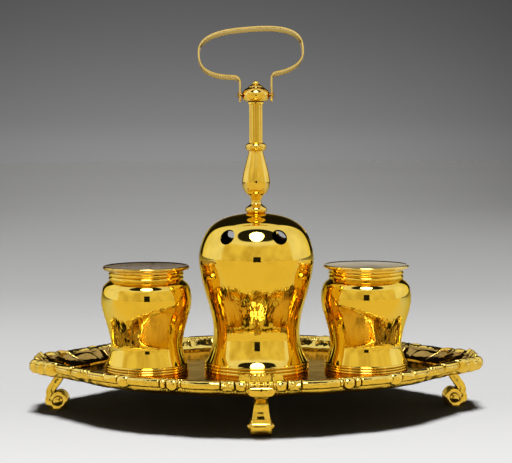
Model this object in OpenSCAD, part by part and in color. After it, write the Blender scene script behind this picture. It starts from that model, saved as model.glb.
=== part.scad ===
// Desk inkstand of polished brass. A shaped tray with a cast border stands on four scroll feet.
// It carries a tall quill pot with a stem and a carrying handle, a pounce pot and an ink pot.
// Millimetres, +Z up, +X along the tray. The origin is on the table, under the tray's centre.

/* [Tray] */
// Length of the tray over the tips of its two ears
tray_l = 299.4; // [288:0.1:312]
// Width of the tray over the heads of its front and rear feet
tray_w = 206; // [198:1:218]
// Height of the tray plate's underside above the table
tray_lift = 24; // [21:0.5:30]
// Thickness of the tray plate
plate_t = 1.3; // [1:0.1:2]

/* [Border] */
// Height of the rim's crest above the tray plate
rim_h = 9.2; // [8.5:0.1:12]
// Height of the border's outer face
rim_face_h = 6; // [5:0.1:6.8]
// Width of the leafy band along the rim
band_w = 7; // [6:0.1:8]
// Fall of that band from the crest to its inner edge
band_fall = 2.4; // [1.5:0.1:3]
// Width of the whole border at the ears
ear_w = 27; // [25:0.5:30]
// Width of the whole border at the front and the rear
side_w = 16.6; // [15.6:0.2:19]
// Depth by which the beads and lobes stand out of the rim
bead_depth = 1.5; // [0.5:0.1:2]
// Share of that depth by which they also hang below the rim
bead_drop = 0.9; // [0:0.1:1.2]
// Overlap of the border on the edge of the plate
plate_lap = 1.5; // [1:0.1:2]
// Thickness of the border's lip on the plate
lip_t = 0.6; // [0.4:0.1:1]

/* [Feet] */
// Radius of the scroll of each foot
scroll_r = 6; // [5:0.1:6.5]
// Width of each foot across its scroll
foot_w = 12.6; // [11:0.2:14]
// Width of each leg at its top
leg_top_w = 7; // [5.5:0.5:8]
// Depth by which each scroll is filed flat where it stands
pad_cut = 0.3; // [0.1:0.1:0.8]
// Distance from the rim to the scroll's axis at the ears
ear_foot_in = 18.2; // [17:0.2:20]
// Distance from the rim to the scroll's axis at the front and the rear
side_foot_in = 9.6; // [9:0.2:11]
// Width of the head on the front and rear feet
head_w = 15.6; // [14:0.2:17]
// Thickness of that head in front of the rim
head_t = 2.4; // [1.6:0.1:3.2]
// Height of that head
head_h = 6; // [5:0.2:7]
// Diameter of the pin through that head
pin_d = 1.6; // [1.2:0.1:2.2]
// Length of the pin inside the border
pin_bite = 6; // [4:0.5:7]

/* [Quill pot] */
// Height of the quill pot
quill_h = 103.9; // [98:0.1:112]
// Radius of its foot ring
quill_foot_r = 34.4; // [33:0.1:36]
// Radius of its waist
quill_waist_r = 27; // [24:0.1:28]
// Radius of its belly
quill_belly_r = 38; // [36:0.1:40]
// Thickness of the walls of all three pots
pot_wall = 1.3; // [1:0.1:2]
// Diameter of each quill hole
quill_hole_d = 10.4; // [8:0.1:12]
// Number of quill holes in the shoulder
quill_holes = 6; // [4:1:7]
// Angle by which the holes are turned about the pot
quill_turn = -5; // [-20:1:20]
// Tilt of the quill holes from the vertical
quill_tilt = 48; // [40:1:60]
// Height of the reeded foot of the quill pot
quill_reed_h = 6.4; // [5:0.1:8]

/* [Side pots] */
// Height of the pounce pot and the ink pot
pot_h = 65.6; // [60:0.1:70]
// Radius of their foot rings
pot_foot_r = 27; // [25:0.1:27.5]
// Radius of their waists
pot_waist_r = 23.7; // [23:0.1:25]
// Radius of their bellies
pot_belly_r = 29.9; // [28:0.1:31]
// Radius of their necks between the rings
pot_neck_r = 24.2; // [23.5:0.1:25]
// Height of the reeded neck
pot_neck_h = 5.6; // [4:0.1:6]
// Thickness of their solid bottoms
pot_floor_t = 5; // [4:0.1:6.5]
// Height of their reeded feet
pot_reed_h = 5; // [4:0.1:6]
// Gap between the bellies of the quill pot and a side pot
pot_gap = 5; // [3:0.5:8]
// Depth of the rounding of the reeds on all feet and necks
reed_depth = 0.7; // [0.3:0.1:1]

/* [Lids] */
// Radius of both lids
lid_r = 28.6; // [27.5:0.1:30]
// Thickness of their discs
lid_t = 1.3; // [1:0.1:2]
// Radius of the rolled rim of the lids
lid_rim_r = 1.25; // [0.8:0.05:1.5]
// Height of the collar that lifts the disc off the neck
lid_collar_h = 1.5; // [1:0.1:2.5]
// Depth of the sleeve that enters the neck
lid_sleeve_h = 6; // [4:0.5:7]
// Wall of that sleeve
lid_sleeve_t = 1; // [0.8:0.1:1.5]
// Clearance between the sleeve and the neck
lid_fit = 0.15; // [0.1:0.05:0.3]
// Depth by which the pierced lid is dished
lid_dish = 0.5; // [0.2:0.1:0.8]
// Height by which the plain lid is domed
lid_dome = 0.7; // [0.3:0.1:1.5]
// Diameter of the holes in the pierced lid
shaker_hole_d = 1.6; // [1:0.1:2]

/* [Ink liner] */
// Wall of the glass liner
liner_wall = 2; // [1.5:0.1:3]
// Clearance between the liner and the waist of the ink pot
liner_fit = 0.6; // [0.4:0.1:1]
// Gap between the top of the liner and the lid's sleeve
liner_drop = 1.5; // [1:0.1:3]

/* [Stem] */
// Height of the turned collar on the quill pot
collar_h = 11.6; // [10:0.1:14]
// Radius of the collar's knop
collar_r = 7.2; // [6.5:0.1:8]
// Height of the pear
pear_h = 29.1; // [27:0.1:34]
// Largest radius of the pear
pear_r = 9.2; // [8:0.1:9.4]
// Height of the knop above the pear
knop_h = 6.7; // [5.5:0.1:8]
// Radius of that knop
knop_r = 7; // [6:0.1:8]
// Height of the reeded column
column_h = 23.9; // [18:0.1:28]
// Radius of the column over its reeds
column_r = 4.4; // [4:0.1:5]
// Number of reeds on the column
column_reeds = 6; // [5:1:8]
// Radius of the necks between the turned pieces
neck_r = 4.3; // [4:0.1:5]
// Height of the cap that carries the handle
cap_h = 13.5; // [13:0.1:16]
// Largest radius of the cap
cap_r = 9.2; // [8.5:0.1:10]
// Radius of the finial's bud
finial_r = 2.2; // [1.8:0.1:2.6]

/* [Tie rod] */
// Diameter of the rod that clamps stem, quill pot and tray
rod_d = 3.2; // [2.6:0.1:3.6]
// Clearance round the rod in the pieces that it passes through
rod_clear = 0.1; // [0.05:0.05:0.2]
// Diameter of the washer under the tray
washer_d = 18; // [14:0.5:24]
// Thickness of all washers
washer_t = 1.2; // [0.8:0.1:2]
// Width of the rod's nut across its corners
nut_w = 8; // [7:0.1:10]
// Height of that nut
nut_h = 3.2; // [2.4:0.1:4]

/* [Pot screws] */
// Diameter of the screws that hold the side pots
screw_d = 4; // [3:0.1:5]
// Diameter of their heads
screw_head_d = 8; // [6.5:0.1:10]
// Height of their heads
screw_head_h = 2.6; // [2:0.1:4]
// Depth of thread in the bottom of the pot
screw_bite = 4; // [3:0.1:4]

/* [Handle] */
// Width of the handle's strap
strap_w = 9.4; // [7:0.1:10]
// Thickness of the strap
strap_t = 1.5; // [1:0.1:1.8]
// Gap between the cap and each leg of the handle
leg_gap = 0.4; // [0.3:0.1:1]
// Radius of the bend between a leg and the loop
bend_r = 4; // [2:0.1:5]
// Width of the loop
loop_w = 68.8; // [60:0.2:76]
// Height of the loop
loop_h = 32.4; // [26:0.2:36]
// Height of the loop's middle above the pivots
loop_z = 28.6; // [27:0.2:36]
// Sideways set of the loop, as it is bent
loop_shift = -3; // [-3:0.5:3]
// Tilt of the loop, as it is bent
loop_tilt = 4.5; // [-5:0.5:5]
// Lean of the handle from upright, to the rear
handle_lean = 13; // [0:1:30]
// Diameter of the pivot studs
stud_d = 2; // [1.6:0.1:2.6]
// Clearance of the studs in the handle's eyes
stud_clear = 0.05; // [0.02:0.01:0.1]
// Diameter of the studs' heads
stud_head_d = 3.8; // [3.2:0.1:5]

/* [Hidden] */

// fineness of round faces, which are exact circles in the finished part
$fn = 64;
// small gap between pieces that seat on each other side by side
seat_gap = 0.05;
// extra length of cutting shapes
cut = 1;

// heights
floor_z = tray_lift + plate_t;
rim_z = floor_z + rim_h;
rim_low_z = rim_z - rim_face_h;
collar_z = floor_z + quill_h;
pear_z = collar_z + collar_h;
knop_z = pear_z + pear_h;
column_z = knop_z + knop_h;
cap_z = column_z + column_h;
finial_z = cap_z + cap_h;
pivot_z = cap_z + cap_h * 0.475;
pot_top_z = floor_z + pot_h;
pot_shoulder_z = pot_top_z - pot_neck_h;
liner_top_z = pot_top_z - lid_sleeve_h - liner_drop;

// places
pot_x = quill_belly_r + pot_gap + pot_belly_r;
rim_x = tray_l / 2;
rim_y = tray_w / 2 - head_t;
rod_bore_r = rod_d / 2 + rod_clear;
leg_x = cap_r + leg_gap + strap_t / 2;

// small helpers
function mix(a, b, k) = a + (b - a) * k;
function unit(v) = v / norm(v);
function turn_left(v) = [-v[1], v[0]];
function reversed(list) = [for (i = [len(list) - 1:-1:0]) list[i]];
function tangent(p, i) = unit(p[min(i + 1, len(p) - 1)] - p[max(i - 1, 0)]);

// a line moved sideways by w, to the left of its own direction
function moved(p, w) = [for (i = [0:len(p) - 1]) p[i] + w * turn_left(tangent(p, i))];

// a smooth curve through the points p, with n steps between two of them
function curve_point(a, b, c, d, t) = 0.5 * (2 * b + (c - a) * t
    + (2 * a - 5 * b + 4 * c - d) * t * t + (3 * b - a - 3 * c + d) * t * t * t);
function curve(p, n) = [
    for (i = [0:len(p) - 2], k = [0:n - 1])
        curve_point(p[max(i - 1, 0)], p[i], p[i + 1], p[min(i + 2, len(p) - 1)], k / n),
    p[len(p) - 1]
];

// a row of n convex reeds up a foot or a neck, from z to z + h
function reeds(r, z, h, n) = [
    for (i = [0:n - 1], k = [0:3]) [r + reed_depth * sin(45 * k), z + h * (i + k / 4) / n],
    [r, z + h]
];

// a turned piece with a bore, from its outline, which runs upwards
module turned(outline, bore_r) {
    bottom = outline[0][1];
    top = outline[len(outline) - 1][1];
    rotate_extrude() polygon(concat([[bore_r, bottom]], outline, [[bore_r, top]]));
}

// The border is a cast section that follows two outlines: the rim outside and the plate inside.
// A quarter runs from the tip of the right ear to the middle of the rear. Each row holds a corner
// of the rim and of the floor, as shares of their half sizes, then the stretch that follows it:
// its steps, its outward bulge, and the number of beads or lobes on it. The castings meet
// where the side's corners begin.
foot_seat = head_w / 2 + 0.7;
floor_x = rim_x - ear_w;
floor_y = rim_y - side_w;
ear_corners = [
    [1, 0, 1, 0, 1, 0, 0],
    [1, foot_seat / rim_y, 1, foot_seat / floor_y, 12, 2.6, 3],
    [0.88, 0.27, 0.918, 0.262, 4, 1.4, 0],
    [0.8, 0.415, 0.852, 0.405, 4, 0, 1],
    [0.752, 0.505, 0.811, 0.524, 4, 0, 1],
    [0.718, 0.565, 0.779, 0.607, 3, 0.7, 0]
];
side_corners = [
    [0.645, 0.67, 0.705, 0.702, 3, 0.5, 0],
    [0.59, 0.73, 0.639, 0.774, 4, 0, 1],
    [0.545, 0.775, 0.582, 0.821, 5, 1.2, 0],
    [0.41, 0.865, 0.451, 0.893, 8, 0, 2],
    [0.335, 0.91, 0.369, 0.94, 6, 1.4, 0],
    [0.175, 0.97, 0.221, 0.995, 4, 0, 1],
    [0.115, 0.99, 0.15, 1, 4, 0, 1],
    [foot_seat / rim_x, 1, foot_seat / floor_x, 1, 1, 0, 0],
    [0, 1, 0, 1, 0, 0, 0]
];
corners = concat(ear_corners, side_corners);

function rim_corner(i) = [corners[i][0] * rim_x, corners[i][1] * rim_y];
function floor_corner(i) = [corners[i][2] * floor_x, corners[i][3] * floor_y];
function bulged(a, b, t, bulge) = mix(a, b, t) - turn_left(unit(b - a)) * bulge * 4 * t * (1 - t);

// one station of the border: a rim point, the floor point behind it and the bead's height there
function station(i, t) = [
    bulged(rim_corner(i), rim_corner(i + 1), t, corners[i][5]),
    bulged(floor_corner(i), floor_corner(i + 1), t, corners[i][5] / 2),
    bead_depth * abs(sin(180 * t * corners[i][6]))
];
quarter = [
    for (i = [0:len(corners) - 2], k = [0:corners[i][4] - 1]) station(i, k / corners[i][4]),
    station(len(corners) - 2, 1)
];
stations = len(quarter) - 1;
function steps_before(i) = i == 0 ? 0 : corners[i - 1][4] + steps_before(i - 1);
seam = steps_before(len(ear_corners));

// the section of a border of width w: distance from the rim, height, and how far a bead there
// moves it outwards and upwards
cove_s = band_w + 1.2;
cove_z = rim_z - band_fall - 1;
under_s = band_w + 0.5;
under_z = rim_low_z - 0.3;
function section(w) = [
    [0.8, rim_low_z, 0.8, -bead_drop],
    [0, rim_low_z + 1.4, 1, -bead_drop],
    [0, rim_z - 1.3, 1, 0.2],
    [1.5, rim_z, 0.8, 0.3],
    [band_w, rim_z - band_fall, 0, 0],
    [cove_s, cove_z, 0, 0],
    [mix(cove_s, w, 0.28), mix(floor_z + lip_t, cove_z, 0.5), 0, 0],
    [mix(cove_s, w, 0.62), mix(floor_z + lip_t, cove_z, 0.15), 0, 0],
    [w, floor_z + lip_t, 0, 0],
    [w, floor_z, 0, 0],
    [w - plate_lap, floor_z, 0, 0],
    [w - plate_lap, tray_lift, 0, 0],
    [under_s, under_z, 0, 0]
];
section_points = len(section(side_w));

// a station's place in the whole ring, counted from the right ear to the rear and on round
function ring_index(j) = (j + 4 * stations) % (4 * stations);
function ring_side(j) = floor(ring_index(j) / stations);
function ring_station(j) = ring_index(j) % stations;
function ring_quarter(j) = quarter[ring_side(j) % 2 == 0 ? ring_station(j) : stations - ring_station(j)];
function ring_sign(j) = [[1, 1], [-1, 1], [-1, -1], [1, -1]][ring_side(j)];

// the point that lies s inside the rim at ring station j, pushed out by the bead
function border_xy(j, s, bead) =
    let (q = ring_quarter(j), inward = unit(q[1] - q[0]), p = q[0] + inward * (s - bead), k = ring_sign(j))
        [p[0] * k[0], p[1] * k[1]];
function border_w(j) = norm(ring_quarter(j)[1] - ring_quarter(j)[0]);
function border_ring(j) =
    let (bead = ring_quarter(j)[2])
        [for (p = section(border_w(j)))
            let (xy = border_xy(j, p[0], bead * p[2])) [xy[0], xy[1], p[1] + bead * p[3]]];

// one casting of the border, between two ring stations
module border_casting(first, last) {
    n = section_points;
    rings = last - first + 1;
    points = [for (j = [first:last]) each border_ring(j)];
    sides = [for (j = [0:rings - 2], k = [0:n - 1])
        let (a = j * n + k, b = j * n + (k + 1) % n) each [[a, b, a + n], [b, b + n, a + n]]];
    start_cap = [for (k = [n - 1:-1:0]) k];
    end_cap = [for (k = [0:n - 1]) (rings - 1) * n + k];
    polyhedron(points, concat(sides, [start_cap, end_cap]), convexity = 6);
}

module border_front() {
    color("goldenrod") difference() {
        border_casting(2 * stations + seam, 4 * stations - seam);
        foot_pin_at(-90, pin_d + 2 * seat_gap);
    }
}

module border_rear() {
    color("goldenrod") difference() {
        border_casting(seam, 2 * stations - seam);
        foot_pin_at(90, pin_d + 2 * seat_gap);
    }
}

module border_left() color("goldenrod") border_casting(2 * stations - seam, 2 * stations + seam);

module border_right() color("goldenrod") border_casting(-seam, seam);

// the plate lies in the border's rebate, with bores for the rod and the two pot screws
module tray_plate() {
    edge = [for (j = [0:4 * stations - 1]) border_xy(j, border_w(j) - plate_lap + seat_gap, 0)];
    color("darkgoldenrod") difference() {
        translate([0, 0, tray_lift]) linear_extrude(plate_t) polygon(edge);
        translate([0, 0, tray_lift - cut]) {
            cylinder(r = rod_bore_r, h = plate_t + 2 * cut);
            for (side = [-1, 1]) translate([side * pot_x, 0, 0])
                cylinder(d = screw_d + 2 * rod_clear, h = plate_t + 2 * cut);
        }
    }
}

// underside of the border above a foot, where its width is w, at the distance s from the rim
function under(s, w) = lookup(s, [[0.8, rim_low_z], [under_s, under_z], [w - plate_lap, tray_lift]]);

// A foot stands on the +X side, with the rim at x = rim and its scroll's axis `inset` inside it.
scroll_z = scroll_r - pad_cut;
leg_top_z = tray_lift - 1.5;
leg_h = leg_top_z - scroll_z;
// Its leg follows an outer and an inner line: offsets from the axis, and shares of its height.
scroll_line = [[8.1, 0.38], [8.2, 0.12], [6.8, -0.12], [3.4, -0.31], [0.4, -0.35]];
ear_leg_outer = concat([[1.8, 1], [3.4, 0.84], [6.5, 0.62]], scroll_line);
ear_leg_inner = [[-0.4, 0.3], [-0.9, 0.5], [-2, 0.74], [-4, 1]];
side_leg_outer = concat([[side_foot_in + head_t - 0.8, 1.2], [9.3, 1], [7.2, 0.8], [7.1, 0.6]], scroll_line);
side_leg_inner = [[-0.4, 0.3], [0, 0.5], [1.2, 0.76], [3.8, 1], [5.5, 1.2]];

module leg(axis_x, outer_line, inner_line) {
    outer = curve([for (p = outer_line) [axis_x + p[0], scroll_z + p[1] * leg_h]], 4);
    inner = curve([for (p = inner_line) [axis_x + p[0], scroll_z + p[1] * leg_h]], 3);
    sides = [[foot_w * 0.47, 0], [foot_w / 2, 4], [foot_w / 2, 7.6], [foot_w * 0.41, 12],
        [leg_top_w * 0.58, 18.5], [leg_top_w / 2, leg_top_z], [leg_top_w / 2, rim_low_z]];
    front = curve(sides, 3);
    intersection() {
        rotate([90, 0, 0]) linear_extrude(foot_w + 2 * cut, center = true)
            polygon(concat(outer, [[axis_x, scroll_z]], inner));
        rotate([90, 0, 90]) linear_extrude(2 * rim_x)
            polygon(concat(front, [for (p = reversed(front)) [-p[0], p[1]]]));
    }
}

// the rolled end of a foot, with a sunk ring and a raised button on each side
module scroll(axis_x) {
    half = foot_w / 2;
    translate([axis_x, 0, scroll_z]) rotate([90, 0, 0]) {
        difference() {
            cylinder(r = scroll_r, h = foot_w - 0.6, center = true);
            for (side = [-1, 1]) translate([0, 0, side * half]) difference() {
                cylinder(r = scroll_r * 0.8, h = 1.6, center = true);
                cylinder(r = scroll_r * 0.6, h = 2, center = true);
            }
        }
        cylinder(r = scroll_r * 0.5, h = foot_w + 1.8, center = true);
        cylinder(r = scroll_r * 0.28, h = foot_w + 3.4, center = true);
    }
}

// the palm that seats under the border, from s_in to s_out inside the rim, on the leg's top
// between the offsets heel and toe
palm_t = 0.8;
module palm(rim, inset, w, s_in, s_out, heel, toe) {
    axis_x = rim - inset;
    breaks = [for (s = [s_in, w - plate_lap, under_s, 0.8, s_out]) if (s <= s_in && s >= s_out) s];
    rotate([90, 0, 0]) linear_extrude(leg_top_w + 1, center = true)
        polygon(concat(
            [for (s = breaks) [rim - s, under(s, w) - seat_gap]],
            [[axis_x + toe, leg_top_z - palm_t], [axis_x + heel, leg_top_z - palm_t]]));
}

// the head that laps over the front of the rim, with canted lower corners
module head(rim) {
    hook = 6;
    top = rim_z - 3;
    low = top - head_h;
    intersection() {
        rotate([90, 0, 0]) linear_extrude(head_w, center = true)
            polygon([[rim + head_t, low + 0.8], [rim + head_t, top - 0.6], [rim + head_t - 0.6, top],
                [rim + seat_gap, top], [rim + seat_gap, rim_low_z + 1.4],
                [rim - 0.8, rim_low_z - seat_gap], [rim - hook, under(hook, side_w) - seat_gap],
                [rim - hook, low], [rim + head_t - 0.8, low]]);
        rotate([90, 0, 90]) linear_extrude(2 * rim_x)
            polygon([[-head_w / 2, top + cut], [-head_w / 2, low + 2.6], [-leg_top_w / 2 - 0.4, low - cut],
                [leg_top_w / 2 + 0.4, low - cut], [head_w / 2, low + 2.6], [head_w / 2, top + cut]]);
    }
}

module ear_foot() {
    axis_x = rim_x - ear_foot_in;
    leg(axis_x, ear_leg_outer, ear_leg_inner);
    standing(axis_x) scroll(axis_x);
    palm(rim_x, ear_foot_in, ear_w, ear_foot_in + 6, ear_foot_in - 5, -3.6, 1.6);
}

module side_foot() {
    axis_x = rim_y - side_foot_in;
    difference() {
        union() {
            leg(axis_x, side_leg_outer, side_leg_inner);
            standing(axis_x) scroll(axis_x);
            palm(rim_y, side_foot_in, side_w, side_foot_in + 5, 2, -2.5, 8);
            head(rim_y);
        }
        foot_pin_at(0, pin_d + 2 * seat_gap);
    }
}

// cuts what it holds flat where it stands on the table
module standing(axis_x) {
    intersection() {
        children();
        translate([axis_x - 2 * scroll_r, -foot_w, 0]) cube([4 * scroll_r, 2 * foot_w, 4 * scroll_r]);
    }
}

// a pin through the head of a front or rear foot, into the border
pin_z = rim_z - 4.6;
module foot_pin_at(angle, d) {
    rotate([0, 0, angle]) translate([rim_y - pin_bite, 0, pin_z]) rotate([0, 90, 0])
        cylinder(d = d, h = pin_bite + head_t + 0.3, $fn = 24);
}

module front_foot() color("goldenrod") rotate([0, 0, -90]) side_foot();

module rear_foot() color("goldenrod") rotate([0, 0, 90]) side_foot();

module left_foot() color("goldenrod") rotate([0, 0, 180]) ear_foot();

module right_foot() color("goldenrod") ear_foot();

module foot_pins() color("darkgoldenrod") for (angle = [-90, 90]) foot_pin_at(angle, pin_d);

// The quill pot is a bell open at the bottom, with its holes drilled through the shoulder.
// Its outline above the reeded foot: shares of waist to foot or to belly, then height shares.
quill_neck_z = floor_z + quill_reed_h;
function quill_at(r, k) = [r, floor_z + quill_h * k];
quill_side = curve([
    [quill_foot_r - 0.6, quill_neck_z],
    quill_at(mix(quill_waist_r, quill_foot_r, 0.42), 0.132),
    quill_at(quill_waist_r, 0.255),
    quill_at(mix(quill_waist_r, quill_belly_r, 0.2), 0.4),
    quill_at(mix(quill_waist_r, quill_belly_r, 0.65), 0.525),
    quill_at(mix(quill_waist_r, quill_belly_r, 0.955), 0.655),
    quill_at(quill_belly_r, 0.72),
    quill_at(quill_belly_r * 0.976, 0.781),
    quill_at(quill_belly_r * 0.914, 0.851),
    quill_at(quill_belly_r * 0.822, 0.905),
    quill_at(quill_belly_r * 0.67, 0.95),
    quill_at(quill_belly_r * 0.44, 0.984),
    quill_at(collar_r, 1)
], 3);
quill_hole_r = quill_belly_r * 0.887;
quill_hole_z = floor_z + quill_h * 0.868;

module quill_pot() {
    inner = moved(quill_side, pot_wall);
    top = inner[len(inner) - 1][1];
    color("gold") difference() {
        rotate_extrude($fn = 96) polygon(concat(
            reeds(quill_foot_r, floor_z, quill_reed_h, 3),
            quill_side,
            [[rod_bore_r, collar_z], [rod_bore_r, top]],
            reversed(inner),
            [[inner[0][0], floor_z]]));
        for (k = [0:quill_holes - 1])
            rotate([0, 0, -60 + quill_turn + k * 360 / quill_holes])
                translate([quill_hole_r, 0, quill_hole_z]) rotate([0, quill_tilt, 0])
                    cylinder(d = quill_hole_d, h = 2 * quill_hole_d, center = true, $fn = 32);
    }
}

// Both side pots share one outline, from the reeded foot to the reeded neck.
function pot_at(r, k) = [r, floor_z + pot_h * k];
pot_side = curve([
    [pot_foot_r - 0.4, floor_z + pot_reed_h],
    pot_at(mix(pot_waist_r, pot_foot_r, 0.4), 0.155),
    pot_at(pot_waist_r, 0.245),
    pot_at(mix(pot_waist_r, pot_belly_r, 0.14), 0.362),
    pot_at(mix(pot_waist_r, pot_belly_r, 0.55), 0.51),
    pot_at(mix(pot_waist_r, pot_belly_r, 0.94), 0.65),
    pot_at(pot_belly_r, 0.71),
    pot_at(pot_belly_r * 0.984, 0.8),
    pot_at(pot_belly_r * 0.945, 0.858),
    [pot_neck_r, pot_shoulder_z]
], 3);

// a pot with a solid bottom, a hollow above it and a threaded hole for its screw
module pot_body() {
    inner = moved(pot_side, pot_wall);
    bore_r = pot_neck_r - pot_wall;
    inside = [for (p = inner) if (p[1] > floor_z + pot_floor_t && p[1] < pot_shoulder_z - pot_wall) p];
    difference() {
        rotate_extrude($fn = 96) polygon(concat(
            [[0, floor_z]],
            reeds(pot_foot_r, floor_z, pot_reed_h, 3),
            pot_side,
            reeds(pot_neck_r, pot_shoulder_z + 0.2, pot_neck_h - 0.2, 2),
            [[bore_r, pot_top_z], [bore_r, pot_shoulder_z - pot_wall]],
            reversed(inside),
            [[inside[0][0], floor_z + pot_floor_t], [0, floor_z + pot_floor_t]]));
        translate([0, 0, floor_z - cut]) cylinder(d = screw_d, h = screw_bite + cut + 0.3);
    }
}

module pounce_pot() color("gold") translate([-pot_x, 0, 0]) pot_body();

module ink_pot() color("gold") translate([pot_x, 0, 0]) pot_body();

// A lid is a disc with a rolled rim, a collar on the neck and a sleeve inside it.
// `middle` is the height of its middle above its edge.
lid_collar_r = pot_neck_r + 0.3;
sleeve_r = pot_neck_r - pot_wall - lid_fit;
lid_disc_z = pot_top_z + lid_collar_h;
lid_edge_z = lid_disc_z + 2 * lid_rim_r - 0.35;

module lid_body(middle) {
    rim_r = lid_r - lid_rim_r;
    face_r = rim_r - 0.8 * lid_rim_r;
    low_z = lid_edge_z - lid_t;
    rotate_extrude($fn = 96) polygon(concat(
        [for (k = [0:6]) [face_r * k / 6, lid_edge_z + middle * (1 - pow(k / 6, 2))]],
        [for (a = [120:-30:-90]) [rim_r + lid_rim_r * cos(a), lid_disc_z + lid_rim_r * (1 + sin(a))]],
        [[lid_collar_r, lid_disc_z], [lid_collar_r, pot_top_z],
            [sleeve_r, pot_top_z], [sleeve_r, pot_top_z - lid_sleeve_h],
            [sleeve_r - lid_sleeve_t, pot_top_z - lid_sleeve_h],
            [sleeve_r - lid_sleeve_t, low_z], [0, low_z + min(middle, 0)]]));
}

// rings of shaker holes: radius of the ring and number of holes
shaker_rings = [[0, 1], [6.2, 6], [12.6, 10], [19, 14]];
module pounce_lid() {
    color("darkgoldenrod") translate([-pot_x, 0, 0]) difference() {
        lid_body(-lid_dish);
        for (ring = shaker_rings, k = [0:ring[1] - 1])
            rotate([0, 0, 360 * k / ring[1]]) translate([ring[0], 0, pot_top_z])
                cylinder(d = shaker_hole_d, h = 3 * lid_t + lid_collar_h, $fn = 16);
    }
}

module ink_lid() color("darkgoldenrod") translate([pot_x, 0, 0]) lid_body(lid_dome);

// a straight glass cup that passes the waist of the ink pot
liner_r = pot_waist_r - pot_wall - liner_fit;
module ink_liner() {
    bottom = floor_z + pot_floor_t;
    round = 4;
    in_r = liner_r - liner_wall;
    color("lightblue") translate([pot_x, 0, 0]) rotate_extrude() polygon([
        [0, bottom], [liner_r - 1.5, bottom], [liner_r, bottom + 1.5],
        [liner_r, liner_top_z - 0.6], [liner_r - 0.6, liner_top_z], [in_r, liner_top_z],
        for (a = [0:15:90]) [in_r - round + round * cos(a), bottom + liner_wall + round - round * sin(a)],
        [0, bottom + liner_wall]
    ]);
}

// The turned pieces of the stem stand on each other, threaded on the tie rod.
module stem_collar() {
    color("gold") turned(curve([
        [collar_r - 1.6, collar_z],
        [collar_r - 0.3, collar_z + collar_h * 0.09],
        [collar_r, collar_z + collar_h * 0.2],
        [collar_r - 0.5, collar_z + collar_h * 0.31],
        [collar_r - 2.1, collar_z + collar_h * 0.43],
        [neck_r - 0.7, collar_z + collar_h * 0.54],
        [neck_r - 1, collar_z + collar_h * 0.7],
        [neck_r - 0.3, collar_z + collar_h * 0.87],
        [neck_r + 0.3, collar_z + collar_h]
    ], 3), rod_bore_r);
}

module stem_pear() {
    color("gold") turned(curve([
        for (p = [[0.06, 0], [0.2, 0.02], [0.55, 0.07], [0.87, 0.18], [1, 0.31], [0.83, 0.52], [0.48, 0.746],
            [0.13, 0.96], [0.08, 1]])
            [mix(neck_r, pear_r, p[0]), pear_z + pear_h * p[1]]
    ], 4), rod_bore_r);
}

module stem_knop() {
    color("gold") turned(concat(
        [[neck_r + 0.6, knop_z], [neck_r + 0.6, knop_z + knop_h * 0.07]],
        [for (a = [-75:15:75]) [knop_r - 2.5 + 2.5 * cos(a), knop_z + knop_h * (0.45 + 0.38 * sin(a))]],
        [[neck_r + 0.5, knop_z + knop_h * 0.85], [neck_r + 0.5, knop_z + knop_h]]
    ), rod_bore_r);
}

// six convex reeds round a core, with a groove to the front
module stem_column() {
    reed_r = column_r * 0.4;
    color("gold") translate([0, 0, column_z]) difference() {
        union() {
            cylinder(r = column_r * 0.84, h = column_h);
            for (k = [0:column_reeds - 1])
                rotate([0, 0, -90 + (k + 0.5) * 360 / column_reeds]) translate([column_r - reed_r, 0, 0])
                    cylinder(r = reed_r, h = column_h, $fn = 32);
        }
        translate([0, 0, -cut]) cylinder(r = rod_bore_r, h = column_h + 2 * cut);
    }
}

rod_end_z = pivot_z + 3.5;
finial_spigot_r = 1;
finial_bite = 2.4;
stud_in = rod_bore_r + 1;
module stem_cap() {
    ring_r = neck_r + 1;
    outline = concat(
        [[neck_r + 0.5, cap_z], [ring_r, cap_z + 0.5],
            [ring_r, cap_z + cap_h * 0.13], [neck_r + 0.5, cap_z + cap_h * 0.165]],
        curve([
            [cap_r * 0.79, cap_z + cap_h * 0.19],
            [cap_r * 0.93, cap_z + cap_h * 0.27],
            [cap_r * 0.985, cap_z + cap_h * 0.365],
            [cap_r, pivot_z],
            [cap_r * 0.975, cap_z + cap_h * 0.58],
            [cap_r * 0.89, cap_z + cap_h * 0.68],
            [cap_r * 0.75, cap_z + cap_h * 0.77],
            [cap_r * 0.61, cap_z + cap_h * 0.825]
        ], 3),
        [[cap_r * 0.57, cap_z + cap_h * 0.835], [cap_r * 0.54, cap_z + cap_h * 0.87],
            [cap_r * 0.4, cap_z + cap_h * 0.945], [2.4, finial_z]]);
    color("gold") difference() {
        rotate_extrude() polygon(concat([[0, cap_z]], outline, [[0, finial_z]]));
        translate([0, 0, cap_z - cut]) cylinder(r = rod_bore_r, h = rod_end_z - cap_z + cut + 0.3);
        translate([0, 0, finial_z - finial_bite]) cylinder(r = finial_spigot_r, h = finial_bite + cut);
        for (side = [-1, 1]) translate([side * stud_in, 0, pivot_z]) rotate([0, side * 90, 0])
            cylinder(d = stud_d, h = cap_r, $fn = 24);
    }
}

module finial() {
    color("gold") translate([0, 0, finial_z]) {
        translate([0, 0, 0.2 - finial_bite]) cylinder(r = finial_spigot_r, h = finial_bite + 0.1);
        difference() {
            translate([0, 0, finial_r * 0.05]) sphere(r = finial_r, $fn = 32);
            translate([0, 0, -2 * finial_r]) cylinder(r = 2 * finial_r, h = 2 * finial_r);
        }
    }
}

rod_low_z = tray_lift - washer_t - nut_h - 1.6;
module tie_rod() {
    color("dimgray") translate([0, 0, rod_low_z]) cylinder(d = rod_d, h = rod_end_z - rod_low_z);
}

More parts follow.
